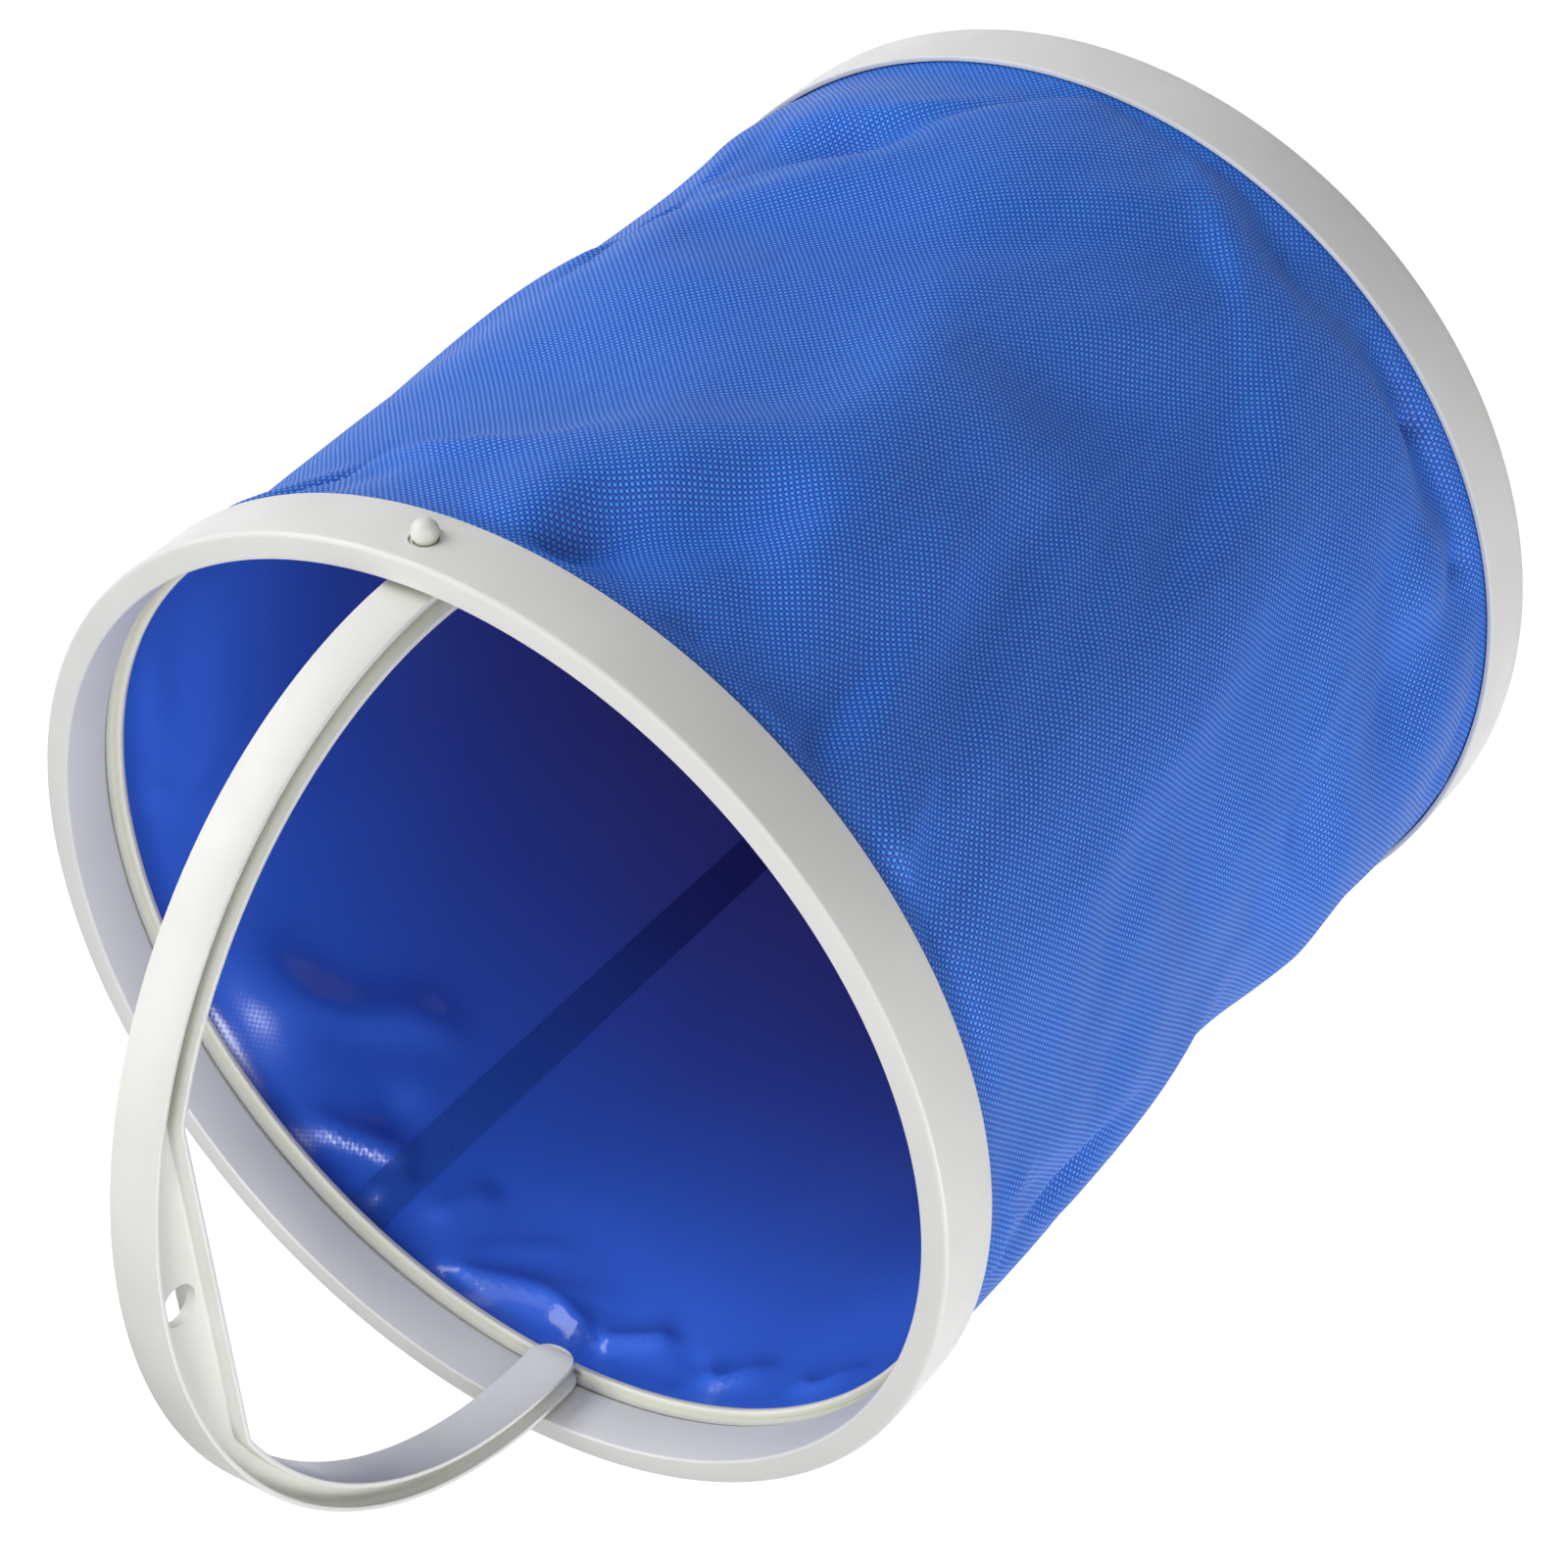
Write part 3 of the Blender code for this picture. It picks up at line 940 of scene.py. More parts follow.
@dataclass(frozen=True)
class Crease:
    """A fold along a line of places on the wall: azimuth in degrees and height in millimetres.

    A positive depth draws the cloth inwards. The two widths lie left and right of the line, and the tapers
    are the shares of its length over which its two ends fade out. The curve has so many steps between
    two places, and a sharp crease's crest is rounded by a share of its width.
    """

    line: tuple[Point2, ...]
    depth_mm: float
    widths: Point2
    edge: Edge = Edge.SOFT
    taper: Point2 = (0.35, 0.35)

    STEPS: ClassVar[int] = 12
    CREST: ClassVar[float] = 0.2

    def samples(self, radius: float) -> np.ndarray:
        """Lay a smooth curve through the line.

        Args:
            radius: The tube's radius in millimetres.

        Returns:
            Points of the curve on the unrolled wall, in millimetres.
        """
        places = np.array([(math.radians(turn) * radius, level) for turn, level in self.line])
        padded = np.vstack([2 * places[0] - places[1], places, 2 * places[-1] - places[-2]])
        found = []
        for number in range(len(places) - 1):
            before, here, after, beyond = padded[number:number + 4]
            for share in np.linspace(0.0, 1.0, self.STEPS, endpoint=False):
                found.append(0.5 * (2 * here + (after - before) * share
                                    + (2 * before - 5 * here + 4 * after - beyond) * share ** 2
                                    + (3 * here - before - 3 * after + beyond) * share ** 3))
        return np.array([*found, places[-1]])

    def depth(self, turn: np.ndarray, level: np.ndarray, radius: float) -> np.ndarray:
        """How far the crease draws the wall inwards.

        Args:
            turn: Azimuths in degrees.
            level: Heights in millimetres.
            radius: The tube's radius in millimetres.

        Returns:
            Depth in millimetres.
        """
        line = self.samples(radius)
        middle = np.degrees(line[:, 0].mean() / radius)
        x = np.radians((turn - middle + 180.0) % 360.0 - 180.0 + middle) * radius
        nearest = np.full(x.shape, np.inf)
        side = np.zeros(x.shape)
        share = np.zeros(x.shape)
        lengths = np.concatenate([[0.0], np.cumsum(np.hypot(*np.diff(line, axis=0).T))])
        for number in range(len(line) - 1):
            start, run = line[number], line[number + 1] - line[number]
            span = float(run @ run) + 1e-9
            along = np.clip(((x - start[0]) * run[0] + (level - start[1]) * run[1]) / span, 0.0, 1.0)
            off_x, off_z = x - start[0] - along * run[0], level - start[1] - along * run[1]
            far = np.hypot(off_x, off_z)
            closer = far < nearest
            nearest = np.where(closer, far, nearest)
            side = np.where(closer, run[0] * off_z - run[1] * off_x, side)
            here = (lengths[number] + along * (lengths[number + 1] - lengths[number])) / lengths[-1]
            share = np.where(closer, here, share)
        width = np.where(side > 0, self.widths[0], self.widths[1])
        if self.edge is Edge.SHARP:
            across = np.exp(self.CREST - np.hypot(nearest / width, self.CREST))
        else:
            across = np.exp(-(nearest / width) ** 2)
        ends = smooth_step(share / self.taper[0]) * smooth_step((1.0 - share) / self.taper[1])
        return self.depth_mm * across * ends


@dataclass(frozen=True)
class Dent:
    """A soft round hollow, or a swelling where its depth is negative.

    Its middle is an azimuth in degrees and a height in millimetres, its reach lies along and across it in
    millimetres, and its lean turns it by degrees.
    """

    middle: Point2
    reach: Point2
    depth_mm: float
    lean: float = 0.0

    def depth(self, turn: np.ndarray, level: np.ndarray, radius: float) -> np.ndarray:
        """How far the dent draws the wall inwards.

        Args:
            turn: Azimuths in degrees.
            level: Heights in millimetres.
            radius: The tube's radius in millimetres.

        Returns:
            Depth in millimetres.
        """
        x = np.radians((turn - self.middle[0] + 180.0) % 360.0 - 180.0) * radius
        z = level - self.middle[1]
        tilt = math.radians(self.lean)
        over = x * math.cos(tilt) + z * math.sin(tilt)
        up = z * math.cos(tilt) - x * math.sin(tilt)
        return self.depth_mm * np.exp(-(over / self.reach[0]) ** 2 - (up / self.reach[1]) ** 2)


@dataclass
class Fabric:
    """The wall, its seam tape and the floor.

    The wall's folds are facets, dents and creases on a round tube. They add up on an even slack, and the
    sum bends over towards the most that the cloth may swell or hollow. All of these are in millimetres.
    """

    sizes: MainSizes
    finishes: Finishes
    outer_gap: float = 1.65 * MM
    thickness: float = 0.5 * MM
    yarn: float = 0.85 * MM
    columns: int = 360
    rows: int = 128
    sharp_from: float = 50.0
    held_reach: float = 5.0 * MM
    slack: float = 0.8
    most_swell: float = 3.2
    most_hollow: float = 14.0
    tape_turns: Point2 = (145.0, 150.0)
    tape_columns: int = 7
    tape_gap: float = 0.12 * MM
    tape_thickness: float = 0.25 * MM
    lap: float = 0.4 * MM
    lap_step: float = 0.4 * MM
    floor_rows: int = 40
    floor_level: float = 13.5 * MM
    floor_inset: float = 6.5 * MM
    floor_edge: float = 1.0 * MM
    floor_hem: float = 1.4 * MM
    floor_turn_down: float = 4.0 * MM
    floor_cut: float = 1.0 * MM
    floor_sag: float = 4.0 * MM
    pucker: float = 0.30 * MM
    pucker_reach: float = 0.06
    puckers: tuple[tuple[float, int, float], ...] = ((1.0, 9, 1.3), (0.7, 14, 0.4), (0.6, 23, 2.1))

    facets: tuple[Facet, ...] = (
        Facet((64, 104), (60, 112), (40, 235), 0.40),
        Facet((152, 196), (150, 190), (40, 225), 0.25),
        Facet((200, 240), (196, 246), (30, 220), 0.40),
    )
    dents: tuple[Dent, ...] = (
        # The side that the photograph shows: 104 rows that a program fitted to its shading.
        Dent((-110.5, 139), (10.1, 26.9), -2.33, 23),
        Dent((-109.2, 197), (6.1, 23.7), 6.27, 6),
        Dent((-108.0, 26), (5.1, 8.7), -2.67, 67),
        Dent((-107.7, 61), (15.0, 35.4), -2.10, -31),
        Dent((-107.5, 145), (9.1, 29.8), -1.22, 11),
        Dent((-107.5, 89), (13.4, 63.0), -2.88, -89),
        Dent((-107.2, 29), (4.6, 5.9), -0.91, -60),
        Dent((-106.9, 225), (4.7, 13.1), 1.22, 11),
        Dent((-106.9, 200), (4.7, 19.9), 0.98, -1),
        Dent((-106.8, 238), (2.6, 35.4), 1.76, -28),
        Dent((-102.1, 220), (7.3, 19.8), 2.83, -12),
        Dent((-101.0, 232), (7.4, 14.2), -4.41, 63),
        Dent((-97.7, 122), (26.3, 63.2), 5.00, 79),
        Dent((-94.4, 184), (11.1, 22.2), 3.66, 46),
        Dent((-92.9, 48), (23.6, 32.3), -4.70, 14),
        Dent((-92.6, 101), (37.1, 45.4), -5.00, -71),
        Dent((-91.0, 19), (5.2, 54.9), 2.21, 83),
        Dent((-90.9, 40), (8.2, 28.1), -2.42, 47),
        Dent((-89.3, 132), (43.3, 70.5), 7.33, -53),
        Dent((-87.5, 122), (14.6, 25.9), -3.92, 73),
        Dent((-87.0, 221), (13.1, 28.9), 2.48, 70),
        Dent((-85.6, 97), (16.0, 35.6), 5.00, 67),
        Dent((-85.5, 148), (10.9, 24.8), 2.34, 90),
        Dent((-82.1, 186), (11.6, 38.3), 3.32, 46),
        Dent((-82.1, 57), (16.6, 29.5), 8.39, 63),
        Dent((-79.2, 62), (10.4, 29.7), -2.92, 26),
        Dent((-76.4, 28), (9.1, 47.7), 2.48, 84),
        Dent((-75.5, 43), (11.3, 16.0), -6.50, 49),
        Dent((-74.5, 241), (5.6, 19.8), 1.91, 82),
        Dent((-69.3, 80), (12.0, 41.2), -2.84, 45),
        Dent((-65.6, 158), (28.9, 69.9), -1.58, -81),
        Dent((-65.4, 174), (7.9, 39.9), 2.63, 10),
        Dent((-62.6, 142), (11.7, 70.6), -3.98, 11),
        Dent((-59.6, 129), (15.3, 39.5), -5.00, 15),
        Dent((-58.9, 51), (14.2, 35.3), -4.91, 54),
        Dent((-58.8, 40), (10.1, 28.5), -3.91, 79),
        Dent((-58.5, 226), (9.2, 28.9), 2.25, 43),
        Dent((-58.1, 40), (6.1, 7.7), -2.45, -24),
        Dent((-55.4, 183), (55.6, 70.4), -4.95, -90),
        Dent((-55.2, 239), (3.0, 7.5), 3.22, 84),
        Dent((-52.4, 226), (6.2, 34.0), -4.55, 22),
        Dent((-52.4, 180), (4.6, 70.1), 1.09, 21),
        Dent((-51.0, 32), (10.8, 24.6), 4.55, -82),
        Dent((-50.8, 112), (11.2, 70.5), 4.68, 15),
        Dent((-50.4, 60), (15.4, 32.3), -4.15, 21),
        Dent((-49.2, 172), (5.4, 17.2), 1.53, 20),
        Dent((-48.7, 144), (5.1, 52.4), 3.69, 19),
        Dent((-48.0, 56), (9.1, 29.9), -2.59, 39),
        Dent((-45.4, 174), (10.3, 57.9), 8.06, 16),
        Dent((-41.4, 173), (6.4, 52.5), 1.67, 22),
        Dent((-40.0, 218), (6.2, 28.6), 3.59, 12),
        Dent((-39.0, 40), (8.8, 25.1), -3.96, 71),
        Dent((-37.3, 32), (5.9, 15.5), 2.61, 57),
        Dent((-36.6, 244), (10.3, 13.5), -7.09, -82),
        Dent((-36.5, 218), (15.7, 65.5), 7.54, 2),
        Dent((-36.5, 184), (10.4, 67.9), -3.66, 5),
        Dent((-33.7, 105), (15.1, 26.6), 3.67, -42),
        Dent((-33.1, 67), (11.3, 54.1), -2.05, -19),
        Dent((-28.3, 217), (9.1, 12.5), 2.95, 8),
        Dent((-25.7, 59), (11.6, 40.7), 3.42, -37),
        Dent((-25.3, 232), (6.3, 7.5), 2.38, -14),
        Dent((-24.9, 170), (11.3, 56.9), -4.07, 18),
        Dent((-23.4, 69), (8.9, 33.5), -2.98, -32),
        Dent((-23.2, 167), (8.0, 61.6), -1.29, -14),
        Dent((-21.7, 132), (15.5, 55.0), -3.35, 84),
        Dent((-20.8, 49), (8.7, 27.8), -2.88, -42),
        Dent((-18.3, 205), (12.9, 29.1), 6.46, -27),
        Dent((-15.5, 176), (9.2, 70.1), -0.71, -79),
        Dent((-14.0, 185), (12.8, 38.4), -3.96, -33),
        Dent((-13.4, 237), (6.3, 7.8), -2.95, 75),
        Dent((-11.8, 17), (5.8, 15.1), 2.15, -29),
        Dent((-11.6, 44), (11.4, 26.7), -2.51, -47),
        Dent((-10.4, 225), (10.8, 23.0), 8.33, 19),
        Dent((-10.2, 232), (5.6, 7.7), 3.12, -19),
        Dent((-9.9, 131), (19.2, 43.6), 4.43, 84),
        Dent((-9.7, 20), (2.6, 70.1), 1.35, 89),
        Dent((-7.7, 223), (13.9, 44.3), -6.34, 10),
        Dent((-7.7, 49), (12.8, 26.0), -2.54, -7),
        Dent((-4.1, 37), (9.2, 71.1), -3.50, -34),
        Dent((-3.8, 242), (7.7, 19.1), 2.90, -56),
        Dent((-3.3, 28), (5.2, 17.9), 3.71, -47),
        Dent((-2.9, 39), (5.8, 20.9), -2.43, -42),
        Dent((0.2, 144), (21.0, 32.3), 2.31, -56),
        Dent((0.9, 100), (14.3, 32.4), 2.57, -63),
        Dent((10.6, 195), (17.0, 70.2), 6.57, -64),
        Dent((11.8, 62), (13.5, 28.3), 3.59, -59),
        Dent((13.1, 62), (11.3, 16.1), 3.76, 87),
        Dent((18.0, 132), (17.5, 44.0), -2.97, 87),
        Dent((18.7, 227), (9.4, 13.5), 4.49, -66),
        Dent((19.0, 180), (14.9, 40.6), 4.03, -65),
        Dent((19.9, 117), (7.1, 13.8), -2.43, 1),
        Dent((20.1, 206), (9.3, 32.5), 1.96, -76),
        Dent((20.8, 48), (12.0, 26.8), -5.00, -83),
        Dent((22.4, 240), (3.6, 8.5), 2.15, -71),
        Dent((23.3, 137), (8.1, 55.2), -0.52, -30),
        Dent((25.2, 229), (16.2, 70.1), -3.79, -57),
        Dent((25.2, 49), (7.2, 11.2), 2.75, -3),
        Dent((25.8, 114), (8.0, 70.4), -2.09, -46),
        Dent((26.6, 91), (3.4, 8.4), -4.91, -17),
        Dent((26.8, 101), (2.7, 22.5), 8.12, -2),
        Dent((27.0, 230), (2.6, 17.7), 4.92, -5),
        Dent((27.0, 229), (6.3, 16.1), 8.06, -31),
        Dent((27.4, 41), (17.5, 64.9), -2.27, 65),
        Dent((27.8, 70), (6.9, 20.5), -2.69, 30),
        # The film's large hollow, seen through the mouth.
        Dent((122, 220), (16, 11.5), 5.6, -12),
        Dent((141, 211), (6, 7), -2.6, 20),
        # The far sides, guessed.
        Dent((75, 228), (20, 7), 1.4, -10),
        Dent((95, 40), (22, 12), 2.0, 18),
        Dent((130, 60), (40, 14), -2.0),
        Dent((170, 218), (30, 10), 0.9, -15),
        Dent((175, 36), (24, 11), 2.2, -15),
        Dent((205, 60), (40, 14), -2.2),
        Dent((222, 44), (22, 13), 2.0, 10),
        Dent((250, 226), (18, 8), 1.3, 15),
    )
    creases: tuple[Crease, ...] = (
        # The side that the photograph shows.
        Crease(((-108, 88), (-100, 103), (-87, 106), (-71, 68)), -2.1, (5.0, 5.0)),
        Crease(((-3, 193), (1, 208), (14, 218), (27, 218)), -1.8, (4.0, 5.0)),
        Crease(((-50, 78), (-38, 52), (-17, 17)), -1.8, (4.0, 5.0)),
        Crease(((6, 62), (15, 80), (27, 97)), -2.0, (3.6, 4.6)),
        Crease(((-8, 18), (4, 38), (17, 57)), -1.9, (3.6, 4.6)),
        Crease(((-79, 12), (-78, 22), (-76, 34)), 1.7, (2.6, 2.6)),
        Crease(((-61, 12), (-60, 24), (-58, 37)), 2.0, (2.6, 2.6)),
        Crease(((-98, 240), (-98, 226), (-96, 213)), 0.8, (2.6, 2.6)),
        # The film along the rim, seen through the mouth.
        Crease(((120, 222), (128, 207), (135, 189), (142, 178)), 3.6, (5.0, 8.0)),
        Crease(((133, 236), (140, 226), (149, 216)), 2.6, (4.0, 4.5)),
        Crease(((146, 237), (147, 230), (148, 219)), 2.2, (2.4, 2.4)),
        Crease(((152, 231), (154, 222), (157, 206)), 2.8, (2.6, 3.0), Edge.SHARP),
        Crease(((156, 240), (162, 222), (170, 206)), 1.0, (3.0, 3.0)),
        Crease(((157, 240), (168, 226), (181, 214)), 0.8, (3.6, 3.6)),
        Crease(((157, 237), (162, 234), (171, 227), (179, 231)), 4.4, (3.2, 4.4), Edge.SHARP, (0.2, 0.1)),
        Crease(((179, 231), (184, 225), (188, 219)), 3.6, (3.0, 4.0), Edge.SHARP, (0.1, 0.3)),
        Crease(((190, 236), (192, 228), (190, 220)), -1.1, (2.4, 2.4)),
        Crease(((193, 222), (197, 231), (203, 219)), 3.4, (3.0, 4.0), Edge.SHARP),
        Crease(((206, 222), (212, 231), (218, 220)), 3.2, (3.0, 4.0), Edge.SHARP),
        Crease(((224, 232), (230, 224), (233, 214)), 1.0, (3.0, 3.0)),
        # The far sides, guessed.
        Crease(((66, 24), (74, 40), (88, 52), (104, 46)), -1.0, (3.0, 3.6), Edge.SHARP),
        Crease(((126, 22), (134, 40), (150, 54)), -1.0, (3.0, 4.0), Edge.SHARP),
        Crease(((196, 24), (206, 44), (222, 58), (236, 40)), -1.0, (3.0, 4.0), Edge.SHARP),
        Crease(((86, 238), (92, 222), (90, 204)), 1.0, (4.0, 4.0)),
    )

    @property
    def radius(self) -> float:
        """Outer radius of the wall where the rings hold it, in metres."""
        return self.sizes.ring_radius - self.outer_gap

    def depth(self, turn: np.ndarray, level: np.ndarray) -> np.ndarray:
        """How far the folds draw the wall inwards.

        Args:
            turn: Azimuths in degrees.
            level: Heights in metres.

        Returns:
            Depth in metres.
        """
        low, high = self.sizes.free_low, self.sizes.free_high
        held = smooth_step(np.minimum(level - low, high - level) / self.held_reach)
        total = np.full(turn.shape, self.slack)
        for form in (*self.facets, *self.dents, *self.creases):
            total += form.depth(turn, level / MM, self.radius / MM)
        swell = self.most_swell * np.tanh(np.minimum(total, 0.0) / self.most_swell)
        hollow = self.most_hollow * np.tanh(np.maximum(total, 0.0) / self.most_hollow)
        return (swell + hollow) * held * MM

    def turns(self) -> np.ndarray:
        """Place the wall's columns, with close pairs at the lap's two edges.

        Returns:
            Their azimuths in degrees.
        """
        even = np.linspace(0.0, 360.0, self.columns, endpoint=False)
        near = math.degrees(self.lap_step / self.radius)
        extra = [edge + side for edge in self.tape_turns for side in (-near, near)]
        kept = [turn for turn in even if all(abs(turn - other) > near for other in extra)]
        return np.array(sorted(kept + extra))

    def levels(self) -> np.ndarray:
        """Place the wall's rows: one at each held edge, and even ones where it is free.

        Returns:
            Their heights in metres.
        """
        free = np.linspace(self.sizes.free_low, self.sizes.free_high, self.rows)
        return np.array([self.sizes.wall_low, *free, self.sizes.wall_high])

    def surface(self, turns: np.ndarray, levels: np.ndarray, inset: float, lap: float = 0.0) -> np.ndarray:
        """Points of a sheet that follows the folded wall.

        Args:
            turns: Azimuths of its columns in degrees.
            levels: Heights of its rows in metres.
            inset: How far it lies inside the wall's outer face.
            lap: How far it stands proud over the seam.

        Returns:
            An array of rows, columns and coordinates.
        """
        turn, level = np.meshgrid(turns, levels)
        depth = self.depth(turn, level)
        free = (level > self.sizes.ring_height) & (level < self.sizes.height - self.sizes.ring_height)
        over = (turn > self.tape_turns[0]) & (turn < self.tape_turns[1]) & free
        r = self.radius - depth - inset + lap * over
        around = np.radians(turn)
        return np.stack([r * np.cos(around), r * np.sin(around), level], axis=-1)

    def sheet_mesh(self, name: str, front: np.ndarray, back: np.ndarray, counts: np.ndarray, round_it: bool,
                   finishes: Sequence[bpy.types.Material]) -> bpy.types.Object:
        """Close two faces of a sheet into one thin shell, with its yarns counted in its UV map.

        Args:
            name: Name of the new object.
            front: Points of the outer face, by row and column.
            back: Points of the inner face, by row and column.
            counts: Yarn counts at each point, one column more than the points where the sheet is round.
            round_it: Whether the last column joins the first.
            finishes: Materials of the outer and the inner face.

        Returns:
            The new object.
        """
        rows, columns = front.shape[:2]
        points = np.concatenate([front.reshape(-1, 3), back.reshape(-1, 3)])
        offset = rows * columns
        spans = columns if round_it else columns - 1
        faces, corners, kinds = [], [], []

        def quad(places: Sequence[tuple[int, int, int]], kind: int = 0) -> None:
            """Add a face by its corners, each a side, a row and a column, and its number of material."""
            faces.append([side * offset + row * columns + column % columns for side, row, column in places])
            corners.extend(tuple(counts[row, column]) for _, row, column in places)
            kinds.append(kind)

        for low in range(rows - 1):
            top = low + 1
            for here in range(spans):
                beside = here + 1
                quad(((0, low, here), (0, low, beside), (0, top, beside), (0, top, here)))
                quad(((1, low, here), (1, top, here), (1, top, beside), (1, low, beside)), 1)
        last, end = rows - 1, columns - 1
        for here in range(spans):
            beside = here + 1
            quad(((0, last, here), (0, last, beside), (1, last, beside), (1, last, here)))
            quad(((1, 0, here), (1, 0, beside), (0, 0, beside), (0, 0, here)))
        if not round_it:
            for low in range(rows - 1):
                top = low + 1
                quad(((0, low, 0), (0, top, 0), (1, top, 0), (1, low, 0)))
                quad(((0, top, end), (0, low, end), (1, low, end), (1, top, end)))
        mesh = bpy.data.meshes.new(name)
        mesh.from_pydata(points.tolist(), [], faces)
        weave = mesh.uv_layers.new(name=WEAVE_MAP)
        weave.data.foreach_set("uv", np.array(corners, dtype=np.float32).ravel())
        for finish in finishes:
            mesh.materials.append(finish)
        mesh.polygons.foreach_set("material_index", np.array(kinds, dtype=np.int32))
        smooth_to(mesh, self.sharp_from)
        return new_object(name, mesh)

    def counts(self, turns: np.ndarray, levels: np.ndarray, round_it: bool) -> np.ndarray:
        """Count yarns along and up the wall at each of its points.

        Args:
            turns: Azimuths of the columns in degrees.
            levels: Heights of the rows in metres.
            round_it: Whether a last column closes the round.

        Returns:
            An array of rows, columns and the two counts, with a whole even number of yarns all round.
        """
        around = np.append(turns, turns[0] + 360.0) if round_it else turns
        whole = 2 * round(math.pi * self.radius / self.yarn)
        across, up = np.meshgrid(around / 360.0 * whole, levels / self.yarn)
        return np.stack([across, up], axis=-1)

    def build_wall(self, finishes: Sequence[bpy.types.Material]) -> bpy.types.Object:
        """Make the wall.

        Args:
            finishes: Materials of its outer and its inner face.

        Returns:
            The wall.
        """
        turns, levels = self.turns(), self.levels()
        front = self.surface(turns, levels, 0.0, self.lap)
        back = self.surface(turns, levels, self.thickness)
        return self.sheet_mesh("wall_cloth", front, back, self.counts(turns, levels, True), True, finishes)

    def build_tape(self) -> bpy.types.Object:
        """Make the tape over the seam, on the wall's inner face.

        Returns:
            The tape.
        """
        turns = np.linspace(*self.tape_turns, self.tape_columns)
        levels = np.linspace(self.sizes.free_low, self.sizes.free_high, self.rows)
        inset = self.thickness + self.tape_gap
        outside = self.surface(turns, levels, inset)
        inside = self.surface(turns, levels, inset + self.tape_thickness)
        tape = self.finishes.tape.build()
        counts = self.counts(turns, levels, False)
        return self.sheet_mesh("seam_tape", outside, inside, counts, False, (tape, tape))

    def build_floor(self, finishes: Sequence[bpy.types.Material]) -> bpy.types.Object:
        """Make the floor: a slack disc, puckered at its edge, that turns down inside the base ring.

        Args:
            finishes: Materials of its lower and its upper face.

        Returns:
            The floor.
        """
        edge = self.sizes.ring_radius - self.floor_inset
        turns = np.linspace(0.0, 360.0, self.columns, endpoint=False)
        radii = [*np.linspace(0.0, edge, self.floor_rows), edge + self.floor_edge, edge + self.floor_hem]
        turn, radius = np.meshgrid(np.radians(turns), radii)
        share = np.clip(radius / edge, 0.0, 1.0)
        waves = sum(size * np.sin(number * turn + start) for size, number, start in self.puckers)
        near_edge = smooth_step((1.0 - share) / self.pucker_reach) * share ** 4
        z = self.floor_level - self.floor_sag * (1.0 - share ** 2) - self.pucker * waves * near_edge
        z[-1] -= self.floor_turn_down
        x, y = radius * np.cos(turn), radius * np.sin(turn)
        top, low = np.stack([x, y, z + self.thickness], axis=-1), np.stack([x, y, z], axis=-1)
        counts = np.stack([x, y], axis=-1) / self.yarn
        counts = np.concatenate([counts, counts[:, :1]], axis=1)
        piece = self.sheet_mesh("floor_cloth", low, top, counts, True, finishes)
        facing_out(piece.data)
        return piece

    def build(self) -> None:
        finishes = (self.finishes.cloth.build(), self.finishes.film.build())
        wall, tape, floor = self.build_wall(finishes), self.build_tape(), self.build_floor(finishes)
        hand_over(wall, "wall_fabric", End.BASE.value)
        hand_over(tape, "wall_seam_tape", End.BASE.value)
        hand_over(floor, "floor_fabric", End.BASE.value)
        for piece in (wall, tape):
            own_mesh(piece)


